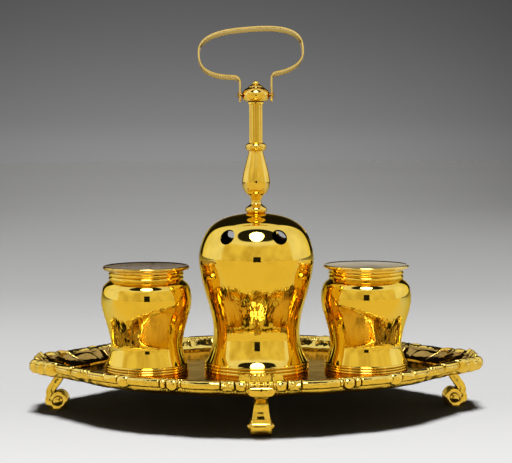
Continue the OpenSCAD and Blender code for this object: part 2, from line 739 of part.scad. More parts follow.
module tie_washer() {
    color("dimgray") translate([0, 0, tray_lift - washer_t]) difference() {
        cylinder(d = washer_d, h = washer_t);
        translate([0, 0, -cut]) cylinder(r = rod_bore_r, h = washer_t + 2 * cut);
    }
}

module tie_nut() {
    color("dimgray") translate([0, 0, tray_lift - washer_t - nut_h]) difference() {
        cylinder(d = nut_w, h = nut_h, $fn = 6);
        translate([0, 0, -cut]) cylinder(d = rod_d, h = nut_h + 2 * cut);
    }
}

// slotted screws from below, each through a washer and the plate into a pot's bottom
module pot_screws() {
    head_low = tray_lift - washer_t - screw_head_h;
    color("dimgray") for (side = [-1, 1]) translate([side * pot_x, 0, head_low]) difference() {
        union() {
            cylinder(d = screw_head_d, h = screw_head_h);
            cylinder(d = screw_d, h = floor_z + screw_bite - head_low);
        }
        translate([-screw_head_d, -0.5, -cut]) cube([2 * screw_head_d, 1, cut + screw_head_h * 0.4]);
    }
}

module pot_washers() {
    color("dimgray") for (side = [-1, 1]) translate([side * pot_x, 0, tray_lift - washer_t]) difference() {
        cylinder(d = washer_d * 0.72, h = washer_t);
        translate([0, 0, -cut]) cylinder(d = screw_d + 2 * rod_clear, h = washer_t + 2 * cut);
    }
}

// The handle is one strap: a leg on each side of the cap, bent out into a crowned oval loop.
loop_power = 2.7;
function loop_point(a) =
    let (x = loop_w / 2 * sign(cos(a)) * pow(abs(cos(a)), 2 / loop_power),
        z = loop_h / 2 * sign(sin(a)) * pow(abs(sin(a)), 2 / loop_power))
        [loop_shift + x * cos(loop_tilt) - z * sin(loop_tilt), loop_z + x * sin(loop_tilt) + z * cos(loop_tilt)];

// the loop's angle, from its flank, at which its underside comes over the end of a bend
function bend_angle(side) =
    let (x = side * (leg_x + bend_r) - loop_shift - loop_h / 2 * sin(loop_tilt))
        acos(pow(abs(x) / cos(loop_tilt) / (loop_w / 2), loop_power / 2));
left_angle = 180 + bend_angle(-1);
right_angle = -bend_angle(1);
left_arm_z = loop_point(left_angle)[1];
right_arm_z = loop_point(right_angle)[1];
loop_steps = 48;
strap_line = concat(
    [[-leg_x, -strap_w / 2]],
    [for (a = [0:15:90]) [-leg_x - bend_r + bend_r * cos(a), left_arm_z - bend_r + bend_r * sin(a)]],
    [for (k = [1:loop_steps - 1]) loop_point(mix(left_angle, right_angle, k / loop_steps))],
    [for (a = [90:15:180]) [leg_x + bend_r + bend_r * cos(a), right_arm_z - bend_r + bend_r * sin(a)]],
    [[leg_x, -strap_w / 2]]
);

module handle() {
    span = loop_w + 2 * strap_w;
    color("gold") translate([0, 0, pivot_z]) rotate([-handle_lean, 0, 0]) difference() {
        intersection() {
            rotate([90, 0, 0]) linear_extrude(strap_w, center = true)
                polygon(concat(moved(strap_line, strap_t / 2), reversed(moved(strap_line, -strap_t / 2))));
            union() {
                rotate([0, 90, 0]) cylinder(d = strap_w, h = span, center = true);
                translate([-span, -strap_w, 0]) cube([2 * span, 2 * strap_w, loop_z + loop_h]);
            }
        }
        rotate([0, 90, 0]) cylinder(d = stud_d + 2 * stud_clear, h = span, center = true, $fn = 24);
    }
}

// short studs from the cap through the handle's eyes, each with a riveted head
module pivot_studs() {
    face = leg_x + strap_t / 2 + seat_gap;
    color("darkgoldenrod") for (side = [-1, 1]) translate([0, 0, pivot_z]) rotate([0, side * 90, 0]) {
        translate([0, 0, stud_in]) cylinder(d = stud_d, h = face - stud_in, $fn = 24);
        translate([0, 0, face]) cylinder(d1 = stud_head_d, d2 = stud_head_d * 0.6, h = 0.9, $fn = 24);
    }
}

tray_plate();
border_front();
border_rear();
border_left();
border_right();
front_foot();
rear_foot();
left_foot();
right_foot();
foot_pins();
quill_pot();
stem_collar();
stem_pear();
stem_knop();
stem_column();
stem_cap();
finial();
tie_rod();
tie_washer();
tie_nut();
pivot_studs();
handle();
pounce_pot();
pounce_lid();
ink_pot();
ink_liner();
ink_lid();
pot_screws();
pot_washers();
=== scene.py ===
import math

import bpy
from mathutils import Matrix, Vector


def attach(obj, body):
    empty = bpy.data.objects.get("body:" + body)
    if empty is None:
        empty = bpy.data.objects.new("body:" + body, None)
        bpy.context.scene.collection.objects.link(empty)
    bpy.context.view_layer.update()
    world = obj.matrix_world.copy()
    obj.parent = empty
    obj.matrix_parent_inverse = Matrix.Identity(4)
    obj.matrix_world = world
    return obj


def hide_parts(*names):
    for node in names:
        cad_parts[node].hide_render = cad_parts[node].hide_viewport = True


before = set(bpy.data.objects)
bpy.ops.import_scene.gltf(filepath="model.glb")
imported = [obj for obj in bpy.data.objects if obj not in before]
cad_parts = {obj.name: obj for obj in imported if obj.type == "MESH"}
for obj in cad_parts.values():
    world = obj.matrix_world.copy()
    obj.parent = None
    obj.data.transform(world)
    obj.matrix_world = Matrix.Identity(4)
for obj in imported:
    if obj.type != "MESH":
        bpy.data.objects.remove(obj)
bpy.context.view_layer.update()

mm = 0.001
print("packed frame loaded:", len(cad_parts), "nodes")


# lines and outlines

def mix(a, b, k):
    return a + (b - a) * k


def clamp(x, low=0.0, high=1.0):
    return max(low, min(high, x))


def smooth(x):
    x = clamp(x)
    return x * x * (3 - 2 * x)


def arc(centre, radius, angles):
    # points on a round stretch of an outline
    return [(centre[0] + radius * math.cos(math.radians(a)), centre[1] + radius * math.sin(math.radians(a)))
            for a in angles]


def smoothLine(points, steps):
    # a smooth curve through rows of numbers, with some steps between two of them
    line = []
    last = len(points) - 1
    for i in range(last):
        a, b = points[max(i - 1, 0)], points[i]
        c, d = points[i + 1], points[min(i + 2, last)]
        for k in range(steps):
            t = k / steps
            line.append(tuple(
                0.5 * (2 * q + (r - p) * t + (2 * p - 5 * q + 4 * r - s) * t ** 2
                       + (3 * q - p - 3 * r + s) * t ** 3)
                for p, q, r, s in zip(a, b, c, d)))
    line.append(tuple(points[last]))
    return line


def fairLine(points, spacing):
    # a line through the points whose slope and bend run on evenly, as a mirror finish needs
    last = len(points) - 1
    spans = [math.dist(a, b) for a, b in zip(points, points[1:])]
    bends = [(0.0, 0.0)] * (last + 1)
    for sweep in range(60):
        for i in range(1, last):
            h, k = spans[i - 1], spans[i]
            bends[i] = tuple(
                (6 * ((r - q) / k - (q - p) / h) - h * before - k * after) / (2 * (h + k))
                for p, q, r, before, after in zip(*points[i - 1:i + 2], bends[i - 1], bends[i + 1]))
    line = []
    for i in range(last):
        steps = max(2, round(spans[i] / spacing))
        for n in range(steps):
            t, u = n / steps, 1 - n / steps
            third = spans[i] ** 2 / 6
            line.append(tuple(
                u * p + t * q + third * ((u ** 3 - u) * m + (t ** 3 - t) * w)
                for p, q, m, w in zip(points[i], points[i + 1], bends[i], bends[i + 1])))
    line.append(tuple(points[last]))
    return line


def movedLine(line, distance):
    # a line moved sideways, to the left of its own direction
    moved = []
    for i, point in enumerate(line):
        a, b = line[max(i - 1, 0)], line[min(i + 1, len(line) - 1)]
        dx, dz = b[0] - a[0], b[1] - a[1]
        size = math.hypot(dx, dz)
        moved.append((point[0] - distance * dz / size, point[1] + distance * dx / size))
    return moved


def reeds(radius, low, height, count, depth):
    # convex reeds up a foot or a neck
    line = []
    for i in range(count):
        for k in range(8):
            line.append((radius + depth * math.sin(math.pi * k / 8), low + height * (i + k / 8) / count))
    line.append((radius, low + height))
    return line


# making and joining pieces

def deselectAll():
    bpy.ops.object.select_all(action='DESELECT')


def pick(piece):
    # the piece alone is selected and active
    deselectAll()
    piece.select_set(True)
    bpy.context.view_layer.objects.active = piece


def editAll():
    bpy.ops.object.mode_set(mode='EDIT')
    bpy.ops.mesh.select_all(action='SELECT')


def closeSkin(threshold=0.001):
    # in edit mode: merges what lies on itself and turns every face outwards
    bpy.ops.mesh.select_all(action='SELECT')
    bpy.ops.mesh.remove_doubles(threshold=threshold * mm)
    bpy.ops.mesh.normals_make_consistent(inside=False)


def settle(piece, crease=35):
    # the piece's place goes into its mesh, and its shading is smooth up to the crease angle
    pick(piece)
    bpy.ops.object.transform_apply(location=True, rotation=True, scale=True)
    bpy.ops.object.shade_smooth_by_angle(angle=math.radians(crease))


def turnPiece(name, outline, centreX=0.0, steps=144, crease=35):
    # a turned piece: one point is drawn along the outline, which is spun about the piece's axis
    deselectAll()
    startR, startZ = outline[0]
    bpy.ops.mesh.primitive_plane_add(size=mm, location=((centreX + startR) * mm, 0, startZ * mm))
    piece = bpy.context.object
    piece.name = name
    editAll()
    bpy.ops.mesh.merge(type='CENTER')
    for (r0, z0), (r1, z1) in zip(outline, outline[1:]):
        bpy.ops.mesh.extrude_region_move(
            TRANSFORM_OT_translate={"value": ((r1 - r0) * mm, 0, (z1 - z0) * mm)})
    bpy.ops.mesh.select_all(action='SELECT')
    bpy.ops.mesh.spin(steps=steps, angle=math.tau, center=(centreX * mm, 0, 0), axis=(0, 0, 1))
    closeSkin()
    bpy.ops.object.mode_set(mode='OBJECT')
    settle(piece, crease)
    return piece


def sweepStrap(name, line, corner, segments=3, crease=40):
    # a strap drawn along a line in the XZ plane; its rows hold x, z, width and thickness
    deselectAll()
    angles = []
    for i in range(len(line)):
        a, b = line[max(i - 1, 0)], line[min(i + 1, len(line) - 1)]
        angles.append(math.atan2(b[0] - a[0], b[1] - a[1]))
    bpy.ops.mesh.primitive_plane_add(size=1)
    strap = bpy.context.object
    strap.name = name
    strap.scale = (line[0][3] * mm, line[0][2] * mm, 1)
    bpy.ops.object.transform_apply(location=True, rotation=True, scale=True)
    editAll()
    bpy.ops.mesh.bevel(offset=corner * mm, segments=segments, affect='VERTICES')
    centre = Vector((line[0][0] * mm, 0, line[0][1] * mm))
    bpy.ops.transform.translate(value=centre)
    bpy.ops.transform.rotate(value=-angles[0], orient_axis='Y', center_override=centre)
    for i in range(1, len(line)):
        step = Vector(((line[i][0] - line[i - 1][0]) * mm, 0, (line[i][1] - line[i - 1][1]) * mm))
        turn = (angles[i] - angles[i - 1] + math.pi) % math.tau - math.pi
        centre = centre + step
        bpy.ops.mesh.extrude_region_move(TRANSFORM_OT_translate={"value": step})
        bpy.ops.transform.rotate(value=-turn, orient_axis='Y', center_override=centre)
        grow = (line[i][3] / line[i - 1][3], line[i][2] / line[i - 1][2], 1)
        bpy.ops.transform.resize(
            value=grow, orient_matrix=Matrix.Rotation(-angles[i], 3, 'Y'),
            orient_matrix_type='LOCAL', orient_type='LOCAL', center_override=centre)
    closeSkin()
    bpy.ops.object.mode_set(mode='OBJECT')
    settle(strap, crease)
    return strap


def copyPiece(piece, name, turn=0.0):
    # a copy with its own mesh, turned about the upright axis
    twin = piece.copy()
    twin.data = piece.data.copy()
    twin.name = name
    bpy.context.scene.collection.objects.link(twin)
    twin.data.transform(Matrix.Rotation(math.radians(turn), 4, 'Z'))
    return twin


def joinPieces(first, others):
    deselectAll()
    for other in others:
        other.select_set(True)
    first.select_set(True)
    bpy.context.view_layer.objects.active = first
    bpy.ops.object.join()
    return first


def applyModifier(piece, kind, **settings):
    pick(piece)
    bpy.ops.object.modifier_add(type=kind)
    modifier = piece.modifiers[-1]
    for key, value in settings.items():
        setattr(modifier, key, value)
    bpy.ops.object.modifier_apply(modifier=modifier.name)


def makeDrill(centre, size, depth, sides, rotation=(0, 0, 0)):
    # a straight drill, its values in millimetres
    deselectAll()
    bpy.ops.mesh.primitive_cylinder_add(
        vertices=sides, radius=size / 2 * mm, depth=depth * mm,
        location=[value * mm for value in centre], rotation=rotation)
    return bpy.context.object


def cutOut(piece, drills, crease):
    # takes the drills' shapes out of the piece and removes them
    cutter = joinPieces(drills[0], drills[1:])
    applyModifier(piece, 'BOOLEAN', operation='DIFFERENCE', solver='EXACT', object=cutter)
    bpy.data.objects.remove(cutter)
    settle(piece, crease)


def place(piece, body, material, nodeName):
    # the piece gets its material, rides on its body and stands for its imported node
    piece.data.materials.clear()
    piece.data.materials.append(material)
    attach(piece, body)
    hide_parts(nodeName)


# building shader trees

def newMaterial(name):
    material = bpy.data.materials.new(name)
    material.use_nodes = True
    nodes = material.node_tree.nodes
    nodes.clear()
    output = nodes.new("ShaderNodeOutputMaterial")
    shader = nodes.new("ShaderNodeBsdfPrincipled")
    material.node_tree.links.new(shader.outputs["BSDF"], output.inputs["Surface"])
    return material, shader


def addNode(tree, kind, **settings):
    node = tree.nodes.new(kind)
    for key, value in settings.items():
        setattr(node, key, value)
    return node


def feed(tree, socket, value):
    # a socket gets a link, an opaque colour or a number
    if isinstance(value, bpy.types.NodeSocket):
        tree.links.new(value, socket)
    elif socket.type == 'RGBA':
        socket.default_value = (*value, 1)
    else:
        socket.default_value = value


def grey(value):
    return (value, value, value)


def splitVector(tree, vector):
    node = addNode(tree, "ShaderNodeSeparateXYZ")
    feed(tree, node.inputs["Vector"], vector)
    return node.outputs["X"], node.outputs["Y"], node.outputs["Z"]


def scaledVector(tree, vector, factors):
    node = addNode(tree, "ShaderNodeVectorMath", operation='MULTIPLY')
    feed(tree, node.inputs[0], vector)
    feed(tree, node.inputs[1], factors)
    return node.outputs["Vector"]


def linkMath(tree, operation, *values):
    # a math node whose inputs are links or numbers
    node = addNode(tree, "ShaderNodeMath", operation=operation)
    for socket, value in zip(node.inputs, values):
        feed(tree, socket, value)
    return node.outputs["Value"]


def product(tree, first, *others):
    for other in others:
        first = linkMath(tree, 'MULTIPLY', first, other)
    return first


def rangeNode(tree, value, low, high, smoothEdge=True, results=(0.0, 1.0)):
    # the first result at the low end, the second at the high end
    node = addNode(tree, "ShaderNodeMapRange", clamp=True,
                   interpolation_type='SMOOTHSTEP' if smoothEdge else 'LINEAR')
    for name, number in (("From Min", low), ("From Max", high),
                         ("To Min", results[0]), ("To Max", results[1])):
        node.inputs[name].default_value = number
    feed(tree, node.inputs["Value"], value)
    return node.outputs["Result"]


def mixColours(tree, share, first, second):
    node = addNode(tree, "ShaderNodeMix", data_type='RGBA')
    for index, value in ((0, share), (6, first), (7, second)):
        feed(tree, node.inputs[index], value)
    return node.outputs[2]


def greyRamp(tree, value, stops):
    # greys laid out along a value; each stop holds its place and its grey
    ramp = addNode(tree, "ShaderNodeValToRGB")
    elements = ramp.color_ramp.elements
    while len(elements) < len(stops):
        elements.new(0.5)
    for element, (position, shade) in zip(elements, stops):
        element.position = position
        element.color = (*grey(shade), 1)
    feed(tree, ramp.inputs["Fac"], value)
    return ramp.outputs["Color"]


def noiseNode(tree, vector, scale, detail):
    node = addNode(tree, "ShaderNodeTexNoise")
    for name, value in (("Vector", vector), ("Scale", scale), ("Detail", detail)):
        feed(tree, node.inputs[name], value)
    return node.outputs["Fac"]


def bumpNode(tree, height, depth, strength, under):
    # depth is in millimetres, and under is the normal that this bump is laid on
    node = addNode(tree, "ShaderNodeBump")
    node.inputs["Strength"].default_value = strength
    node.inputs["Distance"].default_value = depth * mm
    feed(tree, node.inputs["Height"], height)
    if under:
        feed(tree, node.inputs["Normal"], under)
    return node.outputs["Normal"]


# camera, studio and lights

studio = {
    "cameraPlace": (-0.0238, -0.886, 0.1751),
    "cameraDown": 3.752,
    "cameraRight": 1.53,
    "cameraRoll": -0.19,
    "lens": 94.35,
    "floorSize": 24.0,
    "softboxSize": (0.72, 0.9),
    "softboxPlace": (0.0, -0.90, 1.45),
    "softboxTilt": 33.7,
    "softboxWatts": 15.0,
    "topLight": 2.95,
    "topLightAngle": 16.0,
    "cardSize": (0.235, 0.02, 0.21),
    "cardPlace": (0.0, -0.93, 0.17),
}


def makeCamera(v):
    cameraData = bpy.data.cameras.new("photoCamera")
    cameraData.lens = v["lens"]
    cameraData.sensor_width = 36
    cameraData.clip_start = 0.01
    camera = bpy.data.objects.new("photoCamera", cameraData)
    bpy.context.scene.collection.objects.link(camera)
    camera.location = v["cameraPlace"]
    camera.rotation_euler = (
        Matrix.Rotation(math.radians(-v["cameraRight"]), 3, 'Z')
        @ Matrix.Rotation(math.radians(90 - v["cameraDown"]), 3, 'X')
        @ Matrix.Rotation(math.radians(v["cameraRoll"]), 3, 'Z')).to_euler()
    bpy.context.scene.camera = camera
    bpy.context.scene.view_settings.view_transform = 'Standard'


makeCamera(studio)

# The grey paper behind the object, as the camera sees it, with its light falloff painted in: the floor's
# greys run along its distance, the wall's along the height of a line of sight, and both grow darker to the
# sides.
backdrop = {
    "floorReach": (-0.3, 8.0),
    "floorGreys": ((0.018, 0.90), (0.038, 0.76), (0.072, 0.68), (0.099, 0.567), (0.122, 0.487),
                   (0.152, 0.445), (0.195, 0.406), (0.256, 0.37), (0.355, 0.33), (0.537, 0.294),
                   (1.0, 0.264)),
    "wallLow": 0.015,
    "wallGreys": ((0.0, 0.273), (0.015, 0.252), (0.0325, 0.207), (0.055, 0.175), (0.077, 0.147),
                  (0.0995, 0.122), (0.118, 0.106), (0.215, 0.05), (0.415, 0.02)),
    "brightestX": -0.0225, "sideFall": 6.2, "sideLeast": 0.55, "sideReach": (0.4, 3.2),
    "shadowFloor": 0.02, "shadowRoom": (0.008, 0.005, 0.003),
    "warmFloor": (0.87, 0.68, 0.21), "warmReach": (0.12, -0.12),
}


def dimmedSides(tree, colour, sideways, share):
    # painted light: the backdrop is brightest left of the middle and darker towards both sides
    away = linkMath(tree, 'ADD', sideways, -backdrop["brightestX"])
    dim = product(tree, away, away, -backdrop["sideFall"])
    factor = linkMath(tree, 'MULTIPLY_ADD', dim, share, 1.0)
    scaled = addNode(tree, "ShaderNodeVectorMath", operation='SCALE')
    feed(tree, scaled.inputs[0], colour)
    feed(tree, scaled.inputs["Scale"], linkMath(tree, 'MAXIMUM', factor, backdrop["sideLeast"]))
    return scaled.outputs["Vector"]


def afterBounce(tree, rays):
    # 1 for light that has already met something matt, 0 for the rest
    return rangeNode(tree, rays.outputs["Diffuse Depth"], 0.4, 0.6)


def makePaperFloor(v):
    # the metal sees a warmer paper in front than the camera does
    deselectAll()
    bpy.ops.mesh.primitive_circle_add(vertices=96, radius=studio["floorSize"] / 2, fill_type='NGON')
    paperFloor = bpy.context.object
    paperFloor.name = "paperFloor"
    material, shader = newMaterial("palePaper")
    tree = material.node_tree
    rays = addNode(tree, "ShaderNodeLightPath")
    x, y = splitVector(tree, addNode(tree, "ShaderNodeTexCoord").outputs["Object"])[:2]
    # painted light falloff: the paper grows darker with distance and towards the sides
    greys = greyRamp(tree, rangeNode(tree, y, *v["floorReach"], smoothEdge=False), v["floorGreys"])
    sideways = linkMath(tree, 'DIVIDE', x, linkMath(tree, 'ADD', y, -studio["cameraPlace"][1]))
    paper = dimmedSides(tree, greys, sideways, rangeNode(tree, y, *v["sideReach"]))
    inFront = product(tree, rays.outputs["Is Glossy Ray"], rangeNode(tree, y, *v["warmReach"]))
    paper = mixColours(tree, inFront, paper, v["warmFloor"])
    paper = mixColours(tree, afterBounce(tree, rays), paper, grey(v["shadowFloor"]))
    feed(tree, shader.inputs["Base Color"], paper)
    feed(tree, shader.inputs["Roughness"], 0.8)
    feed(tree, shader.inputs["Specular IOR Level"], 0.1)
    paperFloor.data.materials.append(material)


makePaperFloor(backdrop)

# The room that the metal mirrors: lit paper behind, pale screens at the sides, a warmer wall
# behind the camera, and a dark patch with a pale panel in the ceiling. Edges are pairs, so that
# they stay soft: angles from straight behind, and parts of a line of sight that is 1 long.
room = {
    "paperGreys": ((0.0, 0.5), (0.12, 0.47), (0.178, 0.38), (0.194, 0.05), (0.4, 0.012)),
    "paperEdge": (0.36, 0.44), "gap": 0.012, "screenEdge": (0.66, 0.72),
    "cloudScale": 2.2, "cloudEdge": (0.3, 0.7),
    "screens": ((0.84, 0.81, 0.72), (1.0, 0.98, 0.94)),
    "frontWall": ((0.62, 0.48, 0.14), (0.88, 0.74, 0.30)),
    "frontEdge": (math.pi - 1.38, math.pi - 1.26), "frontTop": (0.58, 0.46),
    "patch": 0.015, "patchWide": 0.55, "patchDeep": 0.36, "patchY": -0.40, "patchEdge": (1.08, 0.92),
    "patchLow": (0.4, 0.5),
    "panel": (0.86, 0.84, 0.76), "panelY": 0.20, "panelDeep": (0.25, 0.22), "panelWide": (0.44, 0.40),
    "panelLow": (0.5, 0.6),
}


def mirroredRoom(tree, v, direction):
    toX, toY, toZ = splitVector(tree, direction)
    wideX = linkMath(tree, 'ABSOLUTE', toX)
    fromBack = linkMath(tree, 'ARCTAN2', wideX, toY)
    paper = greyRamp(tree, toZ, v["paperGreys"])
    behind = mixColours(tree, rangeNode(tree, fromBack, *v["paperEdge"]), paper, grey(v["gap"]))
    uneven = rangeNode(tree, noiseNode(tree, direction, v["cloudScale"], 2.0), *v["cloudEdge"])
    screens = mixColours(tree, uneven, *v["screens"])
    frontWall = mixColours(tree, uneven, *v["frontWall"])
    front = product(tree, rangeNode(tree, fromBack, *v["frontEdge"]), rangeNode(tree, toZ, *v["frontTop"]))
    screens = mixColours(tree, front, screens, frontWall)
    colour = mixColours(tree, rangeNode(tree, fromBack, *v["screenEdge"]), behind, screens)
    patchX = linkMath(tree, 'DIVIDE', wideX, v["patchWide"])
    patchY = linkMath(tree, 'DIVIDE', linkMath(tree, 'ADD', toY, -v["patchY"]), v["patchDeep"])
    patchSize = linkMath(tree, 'ADD', product(tree, patchX, patchX), product(tree, patchY, patchY))
    patch = product(tree, rangeNode(tree, patchSize, *v["patchEdge"]), rangeNode(tree, toZ, *v["patchLow"]))
    colour = mixColours(tree, patch, colour, grey(v["patch"]))
    panelY = linkMath(tree, 'ABSOLUTE', linkMath(tree, 'SUBTRACT', toY, v["panelY"]))
    panel = product(tree, rangeNode(tree, panelY, *v["panelDeep"]), rangeNode(tree, wideX, *v["panelWide"]),
                    rangeNode(tree, toZ, *v["panelLow"]))
    return mixColours(tree, panel, colour, v["panel"])


def makeWorld():
    # the camera sees the paper wall, the metal sees the room, and matt surfaces get little light
    world = bpy.data.worlds.new("studioRoom")
    bpy.context.scene.world = world
    world.use_nodes = True
    tree = world.node_tree
    tree.nodes.clear()
    output = addNode(tree, "ShaderNodeOutputWorld")
    background = addNode(tree, "ShaderNodeBackground")
    rays = addNode(tree, "ShaderNodeLightPath")
    direction = addNode(tree, "ShaderNodeTexCoord").outputs["Generated"]
    toX, toY, toZ = splitVector(tree, direction)
    wall = greyRamp(tree, linkMath(tree, 'ADD', toZ, backdrop["wallLow"]), backdrop["wallGreys"])
    wall = dimmedSides(tree, wall, linkMath(tree, 'DIVIDE', toX, toY), 1.0)
    seen = mixColours(tree, rays.outputs["Is Camera Ray"], mirroredRoom(tree, room, direction), wall)
    seen = mixColours(tree, afterBounce(tree, rays), seen, backdrop["shadowRoom"])
    seen = mixColours(tree, rays.outputs["Is Diffuse Ray"], seen, backdrop["shadowRoom"])
    feed(tree, background.inputs["Color"], seen)
    tree.links.new(background.outputs["Background"], output.inputs["Surface"])


makeWorld()


def makeLights(v):
    # one softbox overhead for the metal, and an even light from above for the paper
    softbox = bpy.data.lights.new("softbox", 'AREA')
    softbox.shape = 'ELLIPSE'
    softbox.size, softbox.size_y = v["softboxSize"]
    softbox.energy = v["softboxWatts"]
    light = bpy.data.objects.new("softbox", softbox)
    light.location = v["softboxPlace"]
    light.rotation_euler = (math.radians(v["softboxTilt"]), 0, 0)
    light.visible_diffuse = False
    bpy.context.scene.collection.objects.link(light)
    topLight = bpy.data.lights.new("topLight", 'SUN')
    topLight.energy = v["topLight"]
    topLight.angle = math.radians(v["topLightAngle"])
    light = bpy.data.objects.new("topLight", topLight)
    light.visible_glossy = False
    bpy.context.scene.collection.objects.link(light)


def makeCameraCard(v):
    # the dark back of the camera, which the metal mirrors
    deselectAll()
    bpy.ops.mesh.primitive_cube_add(size=1, location=v["cardPlace"])
    card = bpy.context.object
    card.name = "cameraCard"
    card.scale = v["cardSize"]
    settle(card)
    material, shader = newMaterial("blackCard")
    feed(material.node_tree, shader.inputs["Base Color"], grey(0.01))
    feed(material.node_tree, shader.inputs["Roughness"], 0.8)
    card.data.materials.append(material)
    card.visible_camera = False
    card.visible_shadow = False


makeLights(studio)
makeCameraCard(studio)
print("camera and studio set")


# finishes

def newGroup(name, inputs, outputs):
    group = bpy.data.node_groups.new(name, "ShaderNodeTree")
    for label, kind, value in inputs:
        socket = group.interface.new_socket(name=label, in_out='INPUT', socket_type=kind)
        socket.default_value = value
    for label, kind in outputs:
        group.interface.new_socket(name=label, in_out='OUTPUT', socket_type=kind)
    return group, group.nodes.new("NodeGroupInput"), group.nodes.new("NodeGroupOutput")


def groupNode(tree, group, values):
    node = addNode(tree, "ShaderNodeGroup", node_tree=group)
    for name, value in values.items():
        feed(tree, node.inputs[name], value)
    return node.outputs


def objectPlace(tree):
    return addNode(tree, "ShaderNodeTexCoord").outputs["Object"]


def buildPolishMarks():
    # hairlines round a turned piece, a soft cloud and long waves
    group, given, result = newGroup("polishMarks", [
        ("Along", 'NodeSocketFloat', 120.0), ("Across", 'NodeSocketFloat', 2600.0),
        ("Cloud", 'NodeSocketFloat', 45.0), ("Wave", 'NodeSocketFloat', 60.0)], [
        ("Height", 'NodeSocketFloat'), ("Cloud", 'NodeSocketFloat'), ("Wave", 'NodeSocketFloat')])
    spot = objectPlace(group)
    stretch = addNode(group, "ShaderNodeCombineXYZ")
    for axis, name in (("X", "Along"), ("Y", "Along"), ("Z", "Across")):
        feed(group, stretch.inputs[axis], given.outputs[name])
    stretched = scaledVector(group, spot, stretch.outputs["Vector"])
    feed(group, result.inputs["Height"], noiseNode(group, stretched, 1.0, 3.0))
    feed(group, result.inputs["Cloud"], noiseNode(group, spot, given.outputs["Cloud"], 4.0))
    feed(group, result.inputs["Wave"], noiseNode(group, spot, given.outputs["Wave"], 1.0))
    return group


def buildTarnishAndShade():
    # clean brass on crests, painted shade in recesses where the occlusion node finds them closed in, and
    # real soft stains between; both take the dull colour
    group, given, result = newGroup("tarnishAndShade", [
        ("Clean", 'NodeSocketColor', (0.8, 0.5, 0.1, 1)), ("DullAndShade", 'NodeSocketColor', (0.2, 0.1, 0.03, 1)),
        ("Reach", 'NodeSocketFloat', 0.003), ("Stain", 'NodeSocketFloat', 0.2),
        ("Scale", 'NodeSocketFloat', 60.0)], [
        ("Color", 'NodeSocketColor'), ("ShadeAndStain", 'NodeSocketFloat')])
    hollow = addNode(group, "ShaderNodeAmbientOcclusion", samples=8, only_local=True)
    feed(group, hollow.inputs["Distance"], given.outputs["Reach"])
    # painted shade: what the occlusion node finds closed in goes towards the dark colour
    paintedRecessShade = rangeNode(group, hollow.outputs["AO"], 0.85, 0.25, smoothEdge=False)
    stains = noiseNode(group, objectPlace(group), given.outputs["Scale"], 5.0)
    stained = product(group, rangeNode(group, stains, 0.48, 0.72, smoothEdge=False), given.outputs["Stain"])
    shadeAndStain = linkMath(group, 'MAXIMUM', paintedRecessShade, stained)
    colour = mixColours(group, shadeAndStain, given.outputs["Clean"], given.outputs["DullAndShade"])
    feed(group, result.inputs["Color"], colour)
    feed(group, result.inputs["ShadeAndStain"], shadeAndStain)
    return group


def buildStreaks():
    # upright ripples in the metal between two heights, which break up what the lower belly mirrors
    group, given, result = newGroup("bellyStreaks", [
        ("Low", 'NodeSocketFloat', 0.05), ("High", 'NodeSocketFloat', 0.08)], [
        ("Height", 'NodeSocketFloat')])
    spot = objectPlace(group)
    ripples = noiseNode(group, scaledVector(group, spot, (260, 260, 30)), 1.0, 2.0)
    z = splitVector(group, spot)[2]
    above = product(group, linkMath(group, 'SUBTRACT', z, given.outputs["Low"]), 250.0)
    below = product(group, linkMath(group, 'SUBTRACT', given.outputs["High"], z), 250.0)
    share = linkMath(group, 'MINIMUM', linkMath(group, 'MINIMUM', above, below), 1.0)
    share = linkMath(group, 'MAXIMUM', share, 0.0)
    feed(group, result.inputs["Height"], product(group, linkMath(group, 'SUBTRACT', ripples, 0.5), share))
    return group


polishMarks = buildPolishMarks()
bellyStreaks = buildStreaks()
tarnishAndShade = buildTarnishAndShade()


def brassFinish(name, v):
    # one polished brass, from its own values; its bumps lie on each other, the broadest lowest
    material, shader = newMaterial(name)
    tree = material.node_tree
    waveScale, waveDepth = v["wave"]
    marks = groupNode(tree, polishMarks, {
        "Along": v["along"], "Across": v["across"], "Cloud": v["cloud"], "Wave": waveScale})
    ageAndShade = groupNode(tree, tarnishAndShade, {
        "Clean": v["clean"], "DullAndShade": v["dullAndShade"], "Reach": v["reach"] * mm, "Stain": v["stain"],
        "Scale": v["stainScale"]})
    shine = rangeNode(tree, marks["Cloud"], 0.3, 0.75, smoothEdge=False, results=v["shine"])
    normal = None
    if "streaks" in v:
        low, high, depth = v["streaks"]
        streaks = groupNode(tree, bellyStreaks, {"Low": low * mm, "High": high * mm})
        normal = bumpNode(tree, streaks["Height"], depth, 1.0, normal)
    normal = bumpNode(tree, marks["Wave"], waveDepth, 1.0, normal)
    normal = bumpNode(tree, marks["Height"], 0.01, v["bump"], normal)
    feed(tree, shader.inputs["Base Color"], ageAndShade["Color"])
    feed(tree, shader.inputs["Specular Tint"], v["edge"])
    roughness = linkMath(tree, 'MULTIPLY_ADD', ageAndShade["ShadeAndStain"], v["dullRoughness"], shine)
    feed(tree, shader.inputs["Roughness"], roughness)
    feed(tree, shader.inputs["Normal"], normal)
    feed(tree, shader.inputs["Metallic"], 1.0)
    return material
